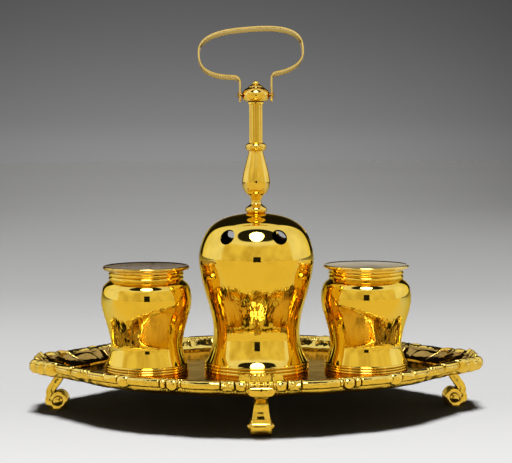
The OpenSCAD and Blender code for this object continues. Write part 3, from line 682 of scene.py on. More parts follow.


# clean, dullAndShade and edge are colours, and dullAndShade is also the painted shade in recesses; reach is
# how far that painted recess shade reaches; along, across and cloud are noise scales; wave and streaks end
# with a depth in millimetres; shine is two roughnesses
finishes = {
    "pot": {"clean": (0.90, 0.66, 0.13), "dullAndShade": (0.22, 0.08, 0.015), "edge": (0.90, 0.72, 0.30),
            "reach": 1.2, "stain": 0.12, "stainScale": 70, "along": 150, "across": 2500, "cloud": 40,
            "wave": (55, 0.10), "shine": (0.03, 0.06), "dullRoughness": 0.2, "bump": 0.08,
            "streaks": (51, 87, 0.34)},
    # stem: its dark colour and reach paint shade at the joins between the stem's pieces
    "stem": {"clean": (0.88, 0.64, 0.16), "dullAndShade": (0.12, 0.045, 0.012), "edge": (0.80, 0.55, 0.22),
             "reach": 1.6, "stain": 0.15, "stainScale": 120, "along": 250, "across": 900, "cloud": 90,
             "wave": (150, 0.03), "shine": (0.04, 0.09), "dullRoughness": 0.15, "bump": 0.1},
    # cast: a near-black colour with a long reach paints deep shade into the border's and feet's recesses
    "cast": {"clean": (0.88, 0.66, 0.17), "dullAndShade": (0.035, 0.016, 0.006), "edge": (0.85, 0.66, 0.30),
             "reach": 3.4, "stain": 0.22, "stainScale": 240, "along": 700, "across": 700, "cloud": 160,
             "wave": (260, 0.12), "shine": (0.06, 0.12), "dullRoughness": 0.2, "bump": 0.5},
    # cove: darker brass, a painted dark reflection for the ears' coves
    "cove": {"clean": (0.42, 0.28, 0.09), "dullAndShade": (0.02, 0.01, 0.004), "edge": (0.5, 0.36, 0.16),
             "reach": 3.4, "stain": 0.5, "stainScale": 160, "along": 700, "across": 700, "cloud": 160,
             "wave": (120, 0.12), "shine": (0.06, 0.12), "dullRoughness": 0.2, "bump": 0.4},
    "tray": {"clean": (0.74, 0.47, 0.11), "dullAndShade": (0.34, 0.18, 0.04), "edge": (0.86, 0.68, 0.30),
             "reach": 2.0, "stain": 0.45, "stainScale": 45, "along": 500, "across": 500, "cloud": 25,
             "wave": (60, 0.12), "shine": (0.10, 0.18), "dullRoughness": 0.1, "bump": 0.12},
    "lid": {"clean": (0.78, 0.56, 0.18), "dullAndShade": (0.20, 0.12, 0.04), "edge": (0.46, 0.37, 0.25),
            "reach": 1.0, "stain": 0.5, "stainScale": 260, "along": 900, "across": 900, "cloud": 60,
            "wave": (120, 0.05), "shine": (0.10, 0.2), "dullRoughness": 0.15, "bump": 0.25},
    "plainLid": {"clean": (0.86, 0.65, 0.22), "dullAndShade": (0.5, 0.36, 0.15), "edge": (1.0, 0.96, 0.86),
                 "reach": 1.0, "stain": 0.15, "stainScale": 130, "along": 900, "across": 900, "cloud": 60,
                 "wave": (120, 0.05), "shine": (0.08, 0.16), "dullRoughness": 0.15, "bump": 0.25},
    "strap": {"clean": (0.84, 0.67, 0.30), "dullAndShade": (0.35, 0.2, 0.06), "edge": (0.70, 0.52, 0.28),
              "reach": 0.3, "stain": 0.08, "stainScale": 60, "along": 120, "across": 300, "cloud": 50,
              "wave": (40, 0.05), "shine": (0.10, 0.14), "dullRoughness": 0.1, "bump": 0.0},
    # dark: the pivot studs' brass, darkened as painted shade of the gap between cap and handle
    "dark": {"clean": (0.40, 0.22, 0.05), "dullAndShade": (0.10, 0.05, 0.015), "edge": (0.5, 0.35, 0.15),
             "reach": 1.0, "stain": 0.5, "stainScale": 300, "along": 900, "across": 900, "cloud": 200,
             "wave": (300, 0.05), "shine": (0.2, 0.35), "dullRoughness": 0.3, "bump": 0.4},
    # inside: near black, the painted shade inside the quill pot; the foot pins get it too
    "inside": {"clean": (0.04, 0.022, 0.008), "dullAndShade": (0.015, 0.008, 0.004), "edge": (0.1, 0.06, 0.03),
               "reach": 2.0, "stain": 0.4, "stainScale": 200, "along": 600, "across": 600, "cloud": 90,
               "wave": (100, 0.1), "shine": (0.4, 0.55), "dullRoughness": 0.2, "bump": 0.2},
    "iron": {"clean": (0.33, 0.32, 0.31), "dullAndShade": (0.10, 0.06, 0.04), "edge": (0.8, 0.78, 0.75),
             "reach": 1.0, "stain": 0.6, "stainScale": 250, "along": 800, "across": 800, "cloud": 180,
             "wave": (200, 0.05), "shine": (0.3, 0.5), "dullRoughness": 0.3, "bump": 0.6},
}
finishes["sidePot"] = {**finishes["pot"], "streaks": (44, 70, 0.3)}
brass = {key: brassFinish("darkIron" if key == "iron" else key + "Brass", values)
         for key, values in finishes.items()}



def makeGlass():
    material, shader = newMaterial("linerGlass")
    for name, value in (("Base Color", (0.80, 0.90, 0.95)), ("Transmission Weight", 1.0),
                        ("Roughness", 0.02), ("IOR", 1.5)):
        feed(material.node_tree, shader.inputs[name], value)
    return material


linerGlass = makeGlass()
print("finishes made:", len(bpy.data.materials))


# heights shared by the pieces
heights = {
    "tray": 24, "floor": 25.3, "quillTop": 129.2, "pear": 140.8,
    "knop": 169.9, "column": 176.6, "cap": 200.5, "pivot": 206.9125, "finial": 214.0,
    "potTop": 90.9, "potShoulder": 85.3,
}

# quill pot: a bell with reeded foot and six holes through its shoulder
quillPot = {
    "height": 103.9, "foot": 33.9, "belly": 38, "wall": 1.3, "footReeds": 6.4, "reedDepth": 0.7, "bore": 1.7,
    "holes": 6, "holeSize": 10.4, "holeTurn": -65, "holeTilt": 48, "holeOut": 0.887, "holeUp": 0.868,
    "drillDepth": 14,
    "side": ((33.5, 6.4), (32.4, 8.1), (31.5, 9.9), (30.72, 12.0), (30.0, 14.4), (29.42, 17.0),
             (28.98, 19.8), (28.68, 22.7), (28.56, 25.6), (28.68, 28.8), (29.12, 32.3), (29.85, 36.2),
             (31.0, 41.1), (32.95, 48.0), (34.8, 54.5), (37.05, 64.4), (37.9, 70.6), (38.0, 75.2),
             (37.15, 81.1), (34.75, 88.4), (31.24, 94.0), (25.46, 98.7), (16.72, 102.2), (7.2, 103.9)),
}


def makeQuillPot(v):
    low, high, foot = heights["floor"], v["height"], v["foot"]
    side = fairLine([(radius, low + height) for radius, height in v["side"]], 0.9)
    inner = movedLine(side, v["wall"])
    outline = reeds(foot, low, v["footReeds"], 3, v["reedDepth"]) + side
    outline += [(v["bore"], low + high), (v["bore"], inner[-1][1])]
    outline += inner[::-1] + [(inner[0][0], low), (foot, low)]
    pot = turnPiece("quillPot", outline, steps=192)
    out, up = v["belly"] * v["holeOut"], low + high * v["holeUp"]
    drills = []
    for k in range(v["holes"]):
        azimuth = math.radians(v["holeTurn"] + 360 * k / v["holes"])
        drills.append(makeDrill(
            (out * math.cos(azimuth), out * math.sin(azimuth), up), v["holeSize"], v["drillDepth"], 64,
            rotation=(0, math.radians(v["holeTilt"]), azimuth)))
    cutOut(pot, drills, 32)
    return pot


def paintInsideShade(piece, material):
    # faces that look at the upright axis get a material of their own, a near-black brass that is painted
    # shade for the inside
    piece.data.materials.append(material)
    for face in piece.data.polygons:
        if face.normal.x * face.center.x + face.normal.y * face.center.y < -0.35 * face.center.xy.length:
            face.material_index = 1


quillBell = makeQuillPot(quillPot)
place(quillBell, "stand", brass["pot"], "quill_pot")
paintInsideShade(quillBell, brass["inside"])  # painted shade: the inside is near black, as seen through the holes
print("quill pot turned and drilled")

# the stem's turned pieces, stacked on the quill pot
stem = {
    "bore": 1.7, "neck": 4.3, "collarRadius": 7.2, "collarHeight": 11.6, "pearRadius": 9.2,
    "pearHeight": 29.1, "knopRadius": 7, "knopHeight": 6.7, "columnRadius": 4.4, "columnHeight": 23.9,
    "columnReeds": 6, "capRadius": 9.2, "capHeight": 13.5, "finialRadius": 2.2,
    "pearLine": ((0.06, 0), (0.2, 0.02), (0.55, 0.07), (0.87, 0.18), (1, 0.31), (0.83, 0.52),
                 (0.48, 0.746), (0.13, 0.96), (0.08, 1)),  # shares of the swelling and of the height
}


def boredPiece(name, line):
    # a turned piece with a hole for the rod up its middle
    bore = stem["bore"]
    outline = [(bore, line[0][1])] + line + [(bore, line[-1][1]), (bore, line[0][1])]
    return turnPiece(name, outline, steps=96, crease=38)


def makeCollar(v):
    low, high, radius, neck = heights["quillTop"], v["collarHeight"], v["collarRadius"], v["neck"]
    return boredPiece("stemCollar", smoothLine([
        (radius - 1.6, low), (radius - 0.3, low + 0.09 * high), (radius, low + 0.2 * high),
        (radius - 0.5, low + 0.31 * high), (radius - 2.1, low + 0.43 * high),
        (neck - 0.7, low + 0.54 * high), (neck - 1, low + 0.7 * high),
        (neck - 0.3, low + 0.87 * high), (neck + 0.3, low + high)], 6))


def makePear(v):
    low, high = heights["pear"], v["pearHeight"]
    return boredPiece("stemPear", smoothLine([
        (mix(v["neck"], v["pearRadius"], share), low + up * high) for share, up in v["pearLine"]], 8))


def makeKnop(v):
    low, high, neck = heights["knop"], v["knopHeight"], v["neck"]
    ring = [(v["knopRadius"] - 2.5 + 2.5 * math.cos(math.radians(a)),
             low + high * (0.45 + 0.38 * math.sin(math.radians(a)))) for a in range(-75, 76, 10)]
    return boredPiece("stemKnop", [(neck + 0.6, low), (neck + 0.6, low + 0.07 * high)] + ring
                      + [(neck + 0.5, low + 0.85 * high), (neck + 0.5, low + high)])


def makeCap(v):
    # its widest ring stands at the height of the handle's studs
    low, high, radius, neck = heights["cap"], v["capHeight"], v["capRadius"], v["neck"]
    foot = [(0, low), (neck + 0.5, low), (neck + 1, low + 0.5), (neck + 1, low + 0.13 * high),
            (neck + 0.5, low + 0.165 * high)]
    crown = smoothLine([
        (radius * 0.79, low + 0.19 * high), (radius * 0.93, low + 0.27 * high),
        (radius * 0.985, low + 0.365 * high), (radius, heights["pivot"]),
        (radius * 0.975, low + 0.58 * high), (radius * 0.89, low + 0.68 * high),
        (radius * 0.75, low + 0.77 * high),
        (radius * 0.61, low + 0.825 * high)], 6)
    neckLine = [(radius * 0.57, low + 0.835 * high), (radius * 0.54, low + 0.87 * high),
                (radius * 0.4, low + 0.945 * high), (2.4, low + high), (0, low + high)]
    return turnPiece("stemCap", foot + crown + neckLine, steps=96, crease=38)


def makeFinial(v):
    low, ball = heights["finial"], v["finialRadius"]
    tip = arc((0, low + ball * 0.05), ball, range(0, 90, 6))
    return turnPiece("finial", [(0, low - 2), (1, low - 2), (1, low), (ball, low)]
                     + tip + [(0, low + ball * 1.05)], steps=48)


def makeColumn(v):
    # a ring of points shaped to six reeds, drawn upwards
    deselectAll()
    bpy.ops.mesh.primitive_circle_add(
        vertices=144, radius=v["columnRadius"] * mm, fill_type='NGON',
        location=(0, 0, heights["column"] * mm))
    column = bpy.context.object
    column.name = "stemColumn"
    reed = v["columnRadius"] * 0.4
    centre = v["columnRadius"] - reed
    sector = math.tau / v["columnReeds"]
    for vertex in column.data.vertices:
        azimuth = math.atan2(vertex.co.y, vertex.co.x)
        off = (azimuth + math.pi / 2) % sector - sector / 2
        radius = centre * math.cos(off) + math.sqrt(reed ** 2 - (centre * math.sin(off)) ** 2)
        vertex.co.x = radius * mm * math.cos(azimuth)
        vertex.co.y = radius * mm * math.sin(azimuth)
    editAll()
    for k in range(6):
        bpy.ops.mesh.extrude_region_move(
            TRANSFORM_OT_translate={"value": (0, 0, v["columnHeight"] * mm / 6)})
    closeSkin()
    bpy.ops.object.mode_set(mode='OBJECT')
    settle(column, 50)
    return column


for makePart, nodeName in ((makeCollar, "stem_collar"), (makePear, "stem_pear"), (makeKnop, "stem_knop"),
                           (makeCap, "stem_cap"), (makeFinial, "finial"), (makeColumn, "stem_column")):
    place(makePart(stem), "stand", brass["stem"], nodeName)
print("stem turned")

# side pots and their lids; both pots share one outline
sidePot = {
    "centreX": 72.9, "height": 65.6, "foot": 27, "waist": 23.7, "belly": 29.9, "neck": 24.2,
    "neckHeight": 5.6, "footReeds": 5, "wall": 1.3, "bottom": 5, "reedDepth": 0.7,
}


def makeSidePot(v, name, centreX):
    low, high = heights["floor"], v["height"]
    waist, foot, belly, wall = v["waist"], v["foot"], v["belly"], v["wall"]
    side = fairLine([
        (foot - 0.4, low + v["footReeds"]),
        (mix(waist, foot, 0.4), low + 0.155 * high),
        (waist, low + 0.245 * high),
        (mix(waist, belly, 0.14), low + 0.362 * high),
        (mix(waist, belly, 0.55), low + 0.51 * high),
        (mix(waist, belly, 0.94), low + 0.65 * high),
        (belly, low + 0.71 * high),
        (belly * 0.984, low + 0.8 * high),
        (belly * 0.945, low + 0.858 * high),
        (v["neck"], heights["potShoulder"])], 0.8)
    floorTop = low + v["bottom"]
    bore = v["neck"] - wall
    inner = [p for p in movedLine(side, wall) if floorTop < p[1] < heights["potShoulder"] - wall]
    outline = [(0, low)] + reeds(foot, low, v["footReeds"], 3, v["reedDepth"]) + side
    outline += reeds(v["neck"], heights["potShoulder"] + 0.2, v["neckHeight"] - 0.2, 2, v["reedDepth"])
    outline += [(bore, heights["potTop"]), (bore, heights["potShoulder"] - wall)]
    outline += inner[::-1] + [(inner[0][0], floorTop), (0, floorTop)]
    return turnPiece(name, outline, centreX=centreX, steps=160)


for name, side, nodeName in (("pouncePot", -1, "pounce_pot"), ("inkPot", 1, "ink_pot")):
    pot = makeSidePot(sidePot, name, side * sidePot["centreX"])
    place(pot, "stand", brass["sidePot"], nodeName)

lid = {
    "radius": 28.6, "thick": 1.3, "rim": 1.25, "collar": 24.5, "collarHeight": 1.5, "sleeve": 22.75,
    "sleeveWall": 1, "sleeveDepth": 6, "dish": 0.5, "dome": 0.7, "holeSize": 1.6, "drillDepth": 8,
    "rings": ((0, 1), (6.2, 6), (12.6, 10), (19, 14)),
}


def makeLid(v, name, centreX, middle):
    top = heights["potTop"]
    disc = top + v["collarHeight"]
    rim = v["rim"]
    edge = disc + 2 * rim - 0.35
    rimR = v["radius"] - rim
    faceR = rimR - 0.8 * rim
    low = edge - v["thick"]
    outline = [(faceR * k / 12, edge + middle * (1 - (k / 12) ** 2)) for k in range(13)]
    outline += arc((rimR, disc + rim), rim, range(120, -91, -15))
    outline += [
        (v["collar"], disc), (v["collar"], top), (v["sleeve"], top), (v["sleeve"], top - v["sleeveDepth"]),
        (v["sleeve"] - v["sleeveWall"], top - v["sleeveDepth"]), (v["sleeve"] - v["sleeveWall"], low),
        (0, low + min(middle, 0))]
    return turnPiece(name, outline, centreX=centreX, steps=144)


def makePouncePotLid(v, centreX):
    cover = makeLid(v, "pounceLid", centreX, -v["dish"])
    drills = []
    for radius, count in v["rings"]:
        for k in range(count):
            azimuth = math.tau * k / count
            drills.append(makeDrill(
                (centreX + radius * math.cos(azimuth), radius * math.sin(azimuth), heights["potTop"] + 2),
                v["holeSize"], v["drillDepth"], 20))
    cutOut(cover, drills, 32)
    return cover


pounceLid = makePouncePotLid(lid, -sidePot["centreX"])
inkLid = makeLid(lid, "inkLid", sidePot["centreX"], lid["dome"])
place(pounceLid, "pierced_lid", brass["lid"], "pounce_lid")
place(inkLid, "plain_lid", brass["plainLid"], "ink_lid")

liner = {"radius": 21.8, "wall": 2, "round": 4, "top": 83.4}


def makeLiner(v):
    low = heights["floor"] + sidePot["bottom"]
    radius, top, curve = v["radius"], v["top"], v["round"]
    inside = radius - v["wall"]
    outline = [(0, low), (radius - 1.5, low), (radius - 0.4, low + 0.4), (radius, low + 1.5),
               (radius, top - 0.6), (radius - 0.6, top), (inside, top)]
    outline += arc((inside - curve, low + v["wall"] + curve), curve, range(0, -91, -10))
    return turnPiece("inkLiner", outline + [(0, low + v["wall"])], centreX=sidePot["centreX"], steps=96)


place(makeLiner(liner), "stand", linerGlass, "ink_liner")
print("side pots, lids and liner turned")

# the handle: one strap from eye to eye, bent out into a crowned oval loop
handle = {
    "width": 9.4, "thick": 1.5, "corner": 0.35, "legX": 10.35, "bend": 4, "loopWidth": 68.8,
    "loopHeight": 32.4, "loopZ": 28.6, "loopShift": -3, "loopTilt": 4.5, "power": 2.7, "lean": 13,
}


def handleLine(v):
    tilt = math.radians(v["loopTilt"])

    def loopPoint(angle):
        c, s = math.cos(angle), math.sin(angle)
        x = v["loopWidth"] / 2 * math.copysign(abs(c) ** (2 / v["power"]), c)
        z = v["loopHeight"] / 2 * math.copysign(abs(s) ** (2 / v["power"]), s)
        return (v["loopShift"] + x * math.cos(tilt) - z * math.sin(tilt),
                v["loopZ"] + x * math.sin(tilt) + z * math.cos(tilt))

    def bendAngle(side):
        x = side * (v["legX"] + v["bend"]) - v["loopShift"] - v["loopHeight"] / 2 * math.sin(tilt)
        return math.acos((abs(x) / math.cos(tilt) / (v["loopWidth"] / 2)) ** (v["power"] / 2))

    bend, legX, width = v["bend"], v["legX"], v["width"]
    eye = [(-width / 2 * math.cos(math.radians(a)), width * math.sin(math.radians(a)))
           for a in range(8, 90, 9)]

    def legRows(side, armZ):
        # from the round eye up to the bend
        rows = [(side * legX, z, wide) for z, wide in eye] + [(side * legX, 0, width)]
        return rows + [(side * legX, (armZ - bend) * share, width) for share in (0.3, 0.6, 0.85)]

    def bendRows(side, armZ, angles):
        return [(x, z, width) for x, z in arc((side * (legX + bend), armZ - bend), bend, angles)]

    first, last = math.pi + bendAngle(-1), -bendAngle(1)
    leftZ, rightZ = loopPoint(first)[1], loopPoint(last)[1]
    rows = legRows(-1, leftZ) + bendRows(-1, leftZ, range(0, 90, 12))
    rows += [(*loopPoint(mix(first, last, k / 90)), width) for k in range(1, 90)]
    rows += bendRows(1, rightZ, range(96, 181, 12)) + legRows(1, rightZ)[::-1]
    return [(x, z + heights["pivot"], wide, v["thick"]) for x, z, wide in rows]


def makeHandle(v):
    strap = sweepStrap("handle", handleLine(v), v["corner"])
    pivot = Vector((0, 0, heights["pivot"] * mm))
    lean = Matrix.Rotation(math.radians(-v["lean"]), 4, 'X')
    strap.data.transform(Matrix.Translation(pivot) @ lean @ Matrix.Translation(-pivot))
    return strap


place(makeHandle(handle), "carrying_handle", brass["strap"], "handle")

studs = {"reach": 11.15, "radius": 1.0, "headRadius": 1.9, "headHeight": 0.9, "inside": 2.7}


def makeStuds(v):
    # a riveted stud is turned upright, laid along the tray and copied to the other side
    face = v["reach"]
    stud = turnPiece("pivotStuds", [
        (0, v["inside"]), (v["radius"], v["inside"]), (v["radius"], face), (v["headRadius"], face),
        (v["headRadius"] * 0.97, face + 0.3), (v["headRadius"] * 0.8, face + 0.65),
        (v["headRadius"] * 0.45, face + 0.85), (0, face + v["headHeight"])], steps=32)
    stud.rotation_euler = (0, math.pi / 2, 0)
    stud.location = (0, 0, heights["pivot"] * mm)
    settle(stud)
    return joinPieces(stud, [copyPiece(stud, "studTwin", turn=180)])


place(makeStuds(studs), "stand", brass["dark"], "pivot_studs")
print("handle bent and riveted")

# feet: a leg that rolls into a scroll with a button in its middle
feet = {
    "earAxisX": 131.5, "sideAxisX": 91.0, "axisZ": 5.7, "corner": 0.9,
    "scroll": ((30, 8.3, 4.6, 11.4), (0, 8.2, 4.0, 12.4), (-45, 7.3, 3.5, 12.6), (-90, 6.0, 3.0, 12.6),
               (-135, 5.9, 2.8, 12.6), (-180, 5.95, 2.6, 12.6), (-225, 5.95, 2.4, 12.6),
               (-270, 5.8, 2.2, 12.5), (-315, 5.0, 2.0, 12.1), (-360, 4.1, 1.8, 11.6),
               (-405, 3.5, 1.6, 11.2), (-450, 3.1, 1.4, 11.0)),
    "earLeg": ((-1.7, 25.6, 9.0, 7.2), (-1.3, 23.6, 7.5, 6.2), (-0.7, 21.5, 7.1, 5.6), (0.5, 19.2, 7.8, 5.3),
               (2.4, 16.6, 8.8, 5.4), (4.3, 13.8, 9.7, 5.3), (5.4, 11.2, 10.6, 4.9)),
    "sideLeg": ((10.5, 31.1, 9.0, 0.8), (10.75, 30.8, 13.2, 1.5), (10.9, 30.2, 15.0, 2.2),
                (10.95, 29.2, 15.2, 2.5), (10.95, 28.0, 15.2, 2.5), (10.9, 27.1, 14.9, 2.5),
                (10.8, 26.5, 12.6, 2.8), (10.5, 25.9, 9.2, 3.2), (9.9, 25.1, 8.2, 3.9),
                (8.7, 23.9, 8.1, 4.7), (7.0, 22.3, 8.4, 5.3), (5.3, 20.2, 8.9, 5.7),
                (4.3, 17.8, 9.4, 5.8), (4.2, 15.2, 9.9, 5.8),
                (4.9, 12.6, 10.5, 5.3), (5.3, 10.6, 11.1, 4.9)),
    "button": ((0, -8.3), (1.0, -8.2), (1.6, -7.8), (1.8, -7.2), (2.9, -7.0), (3.1, -6.5), (3.1, -5.0),
               (3.1, 5.0), (3.1, 6.5), (2.9, 7.0), (1.8, 7.2), (1.6, 7.8), (1.0, 8.2), (0, 8.3)),
}


def makeFoot(v, name, axisX, leg):
    rows = [(axisX + x, z, width, thick) for x, z, width, thick in smoothLine(leg, 3)]
    for angle, radius, thick, width in smoothLine(v["scroll"], 4):
        reach = radius - thick / 2
        rows.append((axisX + reach * math.cos(math.radians(angle)),
                     v["axisZ"] + reach * math.sin(math.radians(angle)), width, thick))
    foot = sweepStrap(name, rows, min(v["corner"], leg[0][3] * 0.45), segments=4, crease=42)
    button = turnPiece(name + "Button", list(v["button"]), steps=48)
    button.rotation_euler = (math.pi / 2, 0, 0)
    button.location = (axisX * mm, 0, v["axisZ"] * mm)
    settle(button)
    joinPieces(foot, [button])
    editAll()  # the scroll is filed flat where it stands on the table
    bpy.ops.mesh.bisect(plane_co=(0, 0, 0), plane_no=(0, 0, 1), clear_inner=True, use_fill=True)
    bpy.ops.object.mode_set(mode='OBJECT')
    settle(foot, 42)
    return foot


rightFoot = makeFoot(feet, "rightFoot", feet["earAxisX"], feet["earLeg"])
leftFoot = copyPiece(rightFoot, "leftFoot", turn=180)
rearFoot = makeFoot(feet, "rearFoot", feet["sideAxisX"], feet["sideLeg"])
rearFoot.data.transform(Matrix.Rotation(math.pi / 2, 4, 'Z'))
frontFoot = copyPiece(rearFoot, "frontFoot", turn=180)
for foot, nodeName in ((rightFoot, "right_foot"), (leftFoot, "left_foot"),
                       (rearFoot, "rear_foot"), (frontFoot, "front_foot")):
    place(foot, "stand", brass["cast"], nodeName)
print("feet rolled")

# the cast border: a section carried along a quarter of the rim, mirrored and copied
border = {
    "rimX": 149.7, "rimY": 100.6, "floorX": 122.7, "floorY": 84, "seat": 8.5, "seam": 6, "step": 0.45,
    "crowding": 0.55, "rollZ": 31.4, "rollRadius": 3.1, "bandWidth": 7, "bandTop": 34.1,
    "bandLow": 31.5, "lap": 1.5, "lip": 0.6, "tick": 1.7, "tickDepth": 0.45, "roughness": 0.26,
    "under": ((10, 24.0), (8.4, 24.2), (7.0, 24.8), (5.9, 25.8), (5.0, 27.0), (4.4, 28.0)),
    "sideFan": {"inward": 25, "across": 31, "middle": 9.0, "leaf": 6.0, "leaves": 17,
                "high": 5.4, "fall": 0.09},
    "earFan": {"inward": 34, "across": 24, "middle": 8.5, "leaf": 5.0, "leaves": 13,
               "high": 2.0, "fall": 0},
}
# each row: the ornament that follows the corner, the corner's shares of rim and floor, bulge, count
borderRows = (
    ("seat", 1, 0, 1, 0, 0, 0),
    ("lobes", 1, border["seat"] / border["rimY"], 1, border["seat"] / border["floorY"], 2.6, 3),
    ("bracket", 0.88, 0.27, 0.918, 0.262, 1.4, 0),
    ("scroll", 0.8, 0.415, 0.852, 0.405, 0, 1),
    ("rings", 0.752, 0.505, 0.811, 0.524, 0, 2),
    ("bar", 0.718, 0.565, 0.779, 0.607, 0.7, 0),
    ("bar", 0.645, 0.67, 0.705, 0.702, 0.5, 0),
    ("knops", 0.59, 0.73, 0.639, 0.774, 0, 1),
    ("bar", 0.545, 0.775, 0.582, 0.821, 1.2, 0),
    ("bead", 0.41, 0.865, 0.451, 0.893, 0, 1),
    ("knops", 0.385, 0.88, 0.4237, 0.9087, 0, 1),
    ("hollow", 0.337, 0.909, 0.371, 0.939, 0, 0),
    ("gadroons", 0.322, 0.915, 0.357, 0.9445, 1.4, 0),
    ("rosette", 0.162, 0.9743, 0.2056, 0.996, 0, 1),
    ("lobe", 0.104, 0.992, 0.1347, 1, 0, 1),
    ("seat", border["seat"] / border["rimX"], 1, border["seat"] / border["floorX"], 1, 0, 0),
    ("end", 0, 1, 0, 1, 0, 0),
)
# how full each ornament makes the outer roll: at its ends, what it swells by and in which shape;
# then how far the roll hangs with each ball, and how far all along
rollShapes = {
    "bar": (0.34, 0.66, "rounded", 0, 0),
    "gadroons": (0.34, 0.66, "rounded", 0, 0),
    "hollow": (0.34, 0.38, "rounded", 0, 0),
    "bead": (0.34, 0.76, "ball", 0.6, 0),
    "knops": (0.34, 0.92, "ball", 1.4, 0),
    "lobes": (0.36, 0.96, "plump", 2.2, 0.3),
    "lobe": (0.36, 0.76, "ball", 0.6, 0),
    "rosette": (0.36, 0.72, "straight", 0, 0.3),
    "rings": (0.42, 0.66, "ball", 0, 0.4),
    "scroll": (0.42, 0.82, "plump", 0.8, 0),
    "bracket": (0.40, 0.60, "soft", 0, 0.4),
}


def rollAt(kind, t, length, count, tick):
    # how full the outer roll is, and how far it hangs, at t along an ornament
    if kind in ("seat", "end"):
        return 0.42 + 0.3 * tick, 0.0
    end = clamp(min(t, 1 - t) * length)
    local = (t * max(count, 1)) % 1.0
    ball = math.sqrt(max(0.0, 1 - (2 * local - 1) ** 2))
    shapes = {"rounded": math.sqrt(1 - (1 - end) ** 2), "ball": ball, "plump": ball ** 0.8,
              "straight": clamp(end * 1.6), "soft": smooth(end)}
    least, swelling, shape, ballHang, hang = rollShapes[kind]
    return least + swelling * shapes[shape], ballHang * ball + hang


def cornerAt(v, row):
    # a corner of the rim and the one of the tray's floor beside it
    return (Vector((row[1] * v["rimX"], row[2] * v["rimY"])),
            Vector((row[3] * v["floorX"], row[4] * v["floorY"])))


def outward(a, b):
    along = (b - a).normalized()
    return Vector((along.y, -along.x))


def borderStations(v, first, last):
    # stations from one corner to another: rim point, inward direction, width and ornament
    stations = []
    walked, before = 0.0, None
    for i in range(first, last):
        kind, bulge, count = borderRows[i][0], borderRows[i][5], borderRows[i][6]
        rimA, floorA = cornerAt(v, borderRows[i])
        rimB, floorB = cornerAt(v, borderRows[i + 1])
        length = (rimB - rimA).length
        steps = max(6, round(length / v["step"]))
        for k in range(steps + (i == last - 1)):
            t = k / steps
            t -= v["crowding"] * math.sin(math.tau * t) / math.tau  # closer together at an ornament's ends
            swell = 4 * bulge * t * (1 - t)
            rim = rimA.lerp(rimB, t) + outward(rimA, rimB) * swell
            inner = floorA.lerp(floorB, t) + outward(floorA, floorB) * swell / 2
            walked += (rim - before).length if before else 0.0
            before = rim
            tick = abs(math.sin(math.pi * walked / v["tick"]))
            size, hang = rollAt(kind, t, length, count, tick)
            stations.append({
                "rim": rim, "inward": (inner - rim).normalized(), "width": (inner - rim).length,
                "kind": kind, "t": t, "count": count, "tick": tick, "size": size, "hang": hang})
    return stations


def leafFan(fan, across, inward):
    # a fan of leaves that spreads inwards from a point on the rim
    if inward >= fan["inward"] or abs(across) >= fan["across"]:
        return 0.0
    reach = math.hypot(across, inward + 1.5)
    angle = math.atan2(across, inward + 1.5) + 0.05 * math.sin(0.9 * reach) + 0.03 * math.sin(across)
    leaf = abs(math.cos(angle * fan["leaves"] / 2))
    edge = 1 - smooth((reach - fan["middle"] - fan["leaf"] * leaf) / 1.6)
    start = smooth((reach - 3.0) / 2.0)
    return edge * start * (fan["high"] - fan["fall"] * abs(across)) * (0.25 + 0.75 * leaf ** 0.8)


def bandRelief(v, station, point, s, q):
    # relief on the band and the cove; q runs from the roll to the floor edge
    kind, t = station["kind"], station["t"]
    relief = 0.0
    if kind in ("bar", "gadroons", "hollow", "bead"):
        depth = 1.0 if kind == "gadroons" else 0.7
        relief += depth * (station["tick"] ** 0.7 - 0.4) * smooth(1.35 - abs(s - 5.3) / 1.5)
    if kind == "rosette" and s < 8:
        relief += 0.3 * math.sin(math.pi * clamp((s - 3.5) / 3.5)) * station["size"]
    if kind == "bracket":
        relief += 2.6 * math.sin(math.pi * t) ** 0.8 * math.exp(-((q - 0.30) / 0.20) ** 2)
    if kind == "scroll":
        relief += 1.9 * math.sin(math.pi * t) * smooth(q * 9) * (1 - q) ** 0.6
    if kind == "rings":
        relief += 1.7 * abs(math.sin(2 * math.pi * t)) ** 0.8 * smooth(q * 9) * (1 - q) ** 0.5
    if kind == "lobes":
        relief += 0.9 * (abs(math.sin(math.pi * station["count"] * t)) ** 0.8 - 0.7) * (1 - q) ** 2.5
    relief += leafFan(v["sideFan"], point.x, v["rimY"] - point.y)
    return relief + leafFan(v["earFan"], point.y, v["rimX"] - point.x)


def rollLine(v, station):
    # the round outer roll, as distance from the rim and height
    size, hang = station["size"], station["hang"]
    line = []
    for k in range(20):
        angle = math.radians(-105 + 200 * k / 19)
        s = v["rollRadius"] * (1 - size * math.cos(angle))
        z = v["rollZ"] + (0.33 + 0.67 * size) * 2.9 * math.sin(angle) - hang * (1 - math.sin(angle)) / 2
        if station["kind"] == "rosette":
            along = 2 * station["t"] - 1
            nearest = min(abs(along - math.sin(angle)), abs(along + math.sin(angle)))
            s += math.exp(-(nearest / 0.22) ** 2)
        line.append((s, z))
    return line


def bandLine(v, station):
    # the band inside the roll, and the cove from there down to the tray's floor
    bandWidth, width = v["bandWidth"], station["width"]
    low = heights["floor"] + v["lip"]
    fall = 1.35 if station["kind"] in ("lobes", "bracket", "scroll", "rings") else 2.2
    line = []
    for k in range(12):
        s = mix(bandWidth * 0.52, bandWidth, k / 11)
        line.append((s, mix(v["bandTop"], v["bandLow"], clamp((s - 3.6) / (bandWidth - 3.6)) ** 1.2)))
    for k in range(1, 19):
        line.append((mix(bandWidth, width, k / 18), low + (v["bandLow"] - low) * (1 - k / 18) ** fall))
    raised = []
    for s, z in line:
        q = clamp((s - bandWidth) / (width - bandWidth))
        point = station["rim"] + station["inward"] * s
        raised.append((s, z + smooth((1 - q) * 6) * bandRelief(v, station, point, s, q)))
    return raised


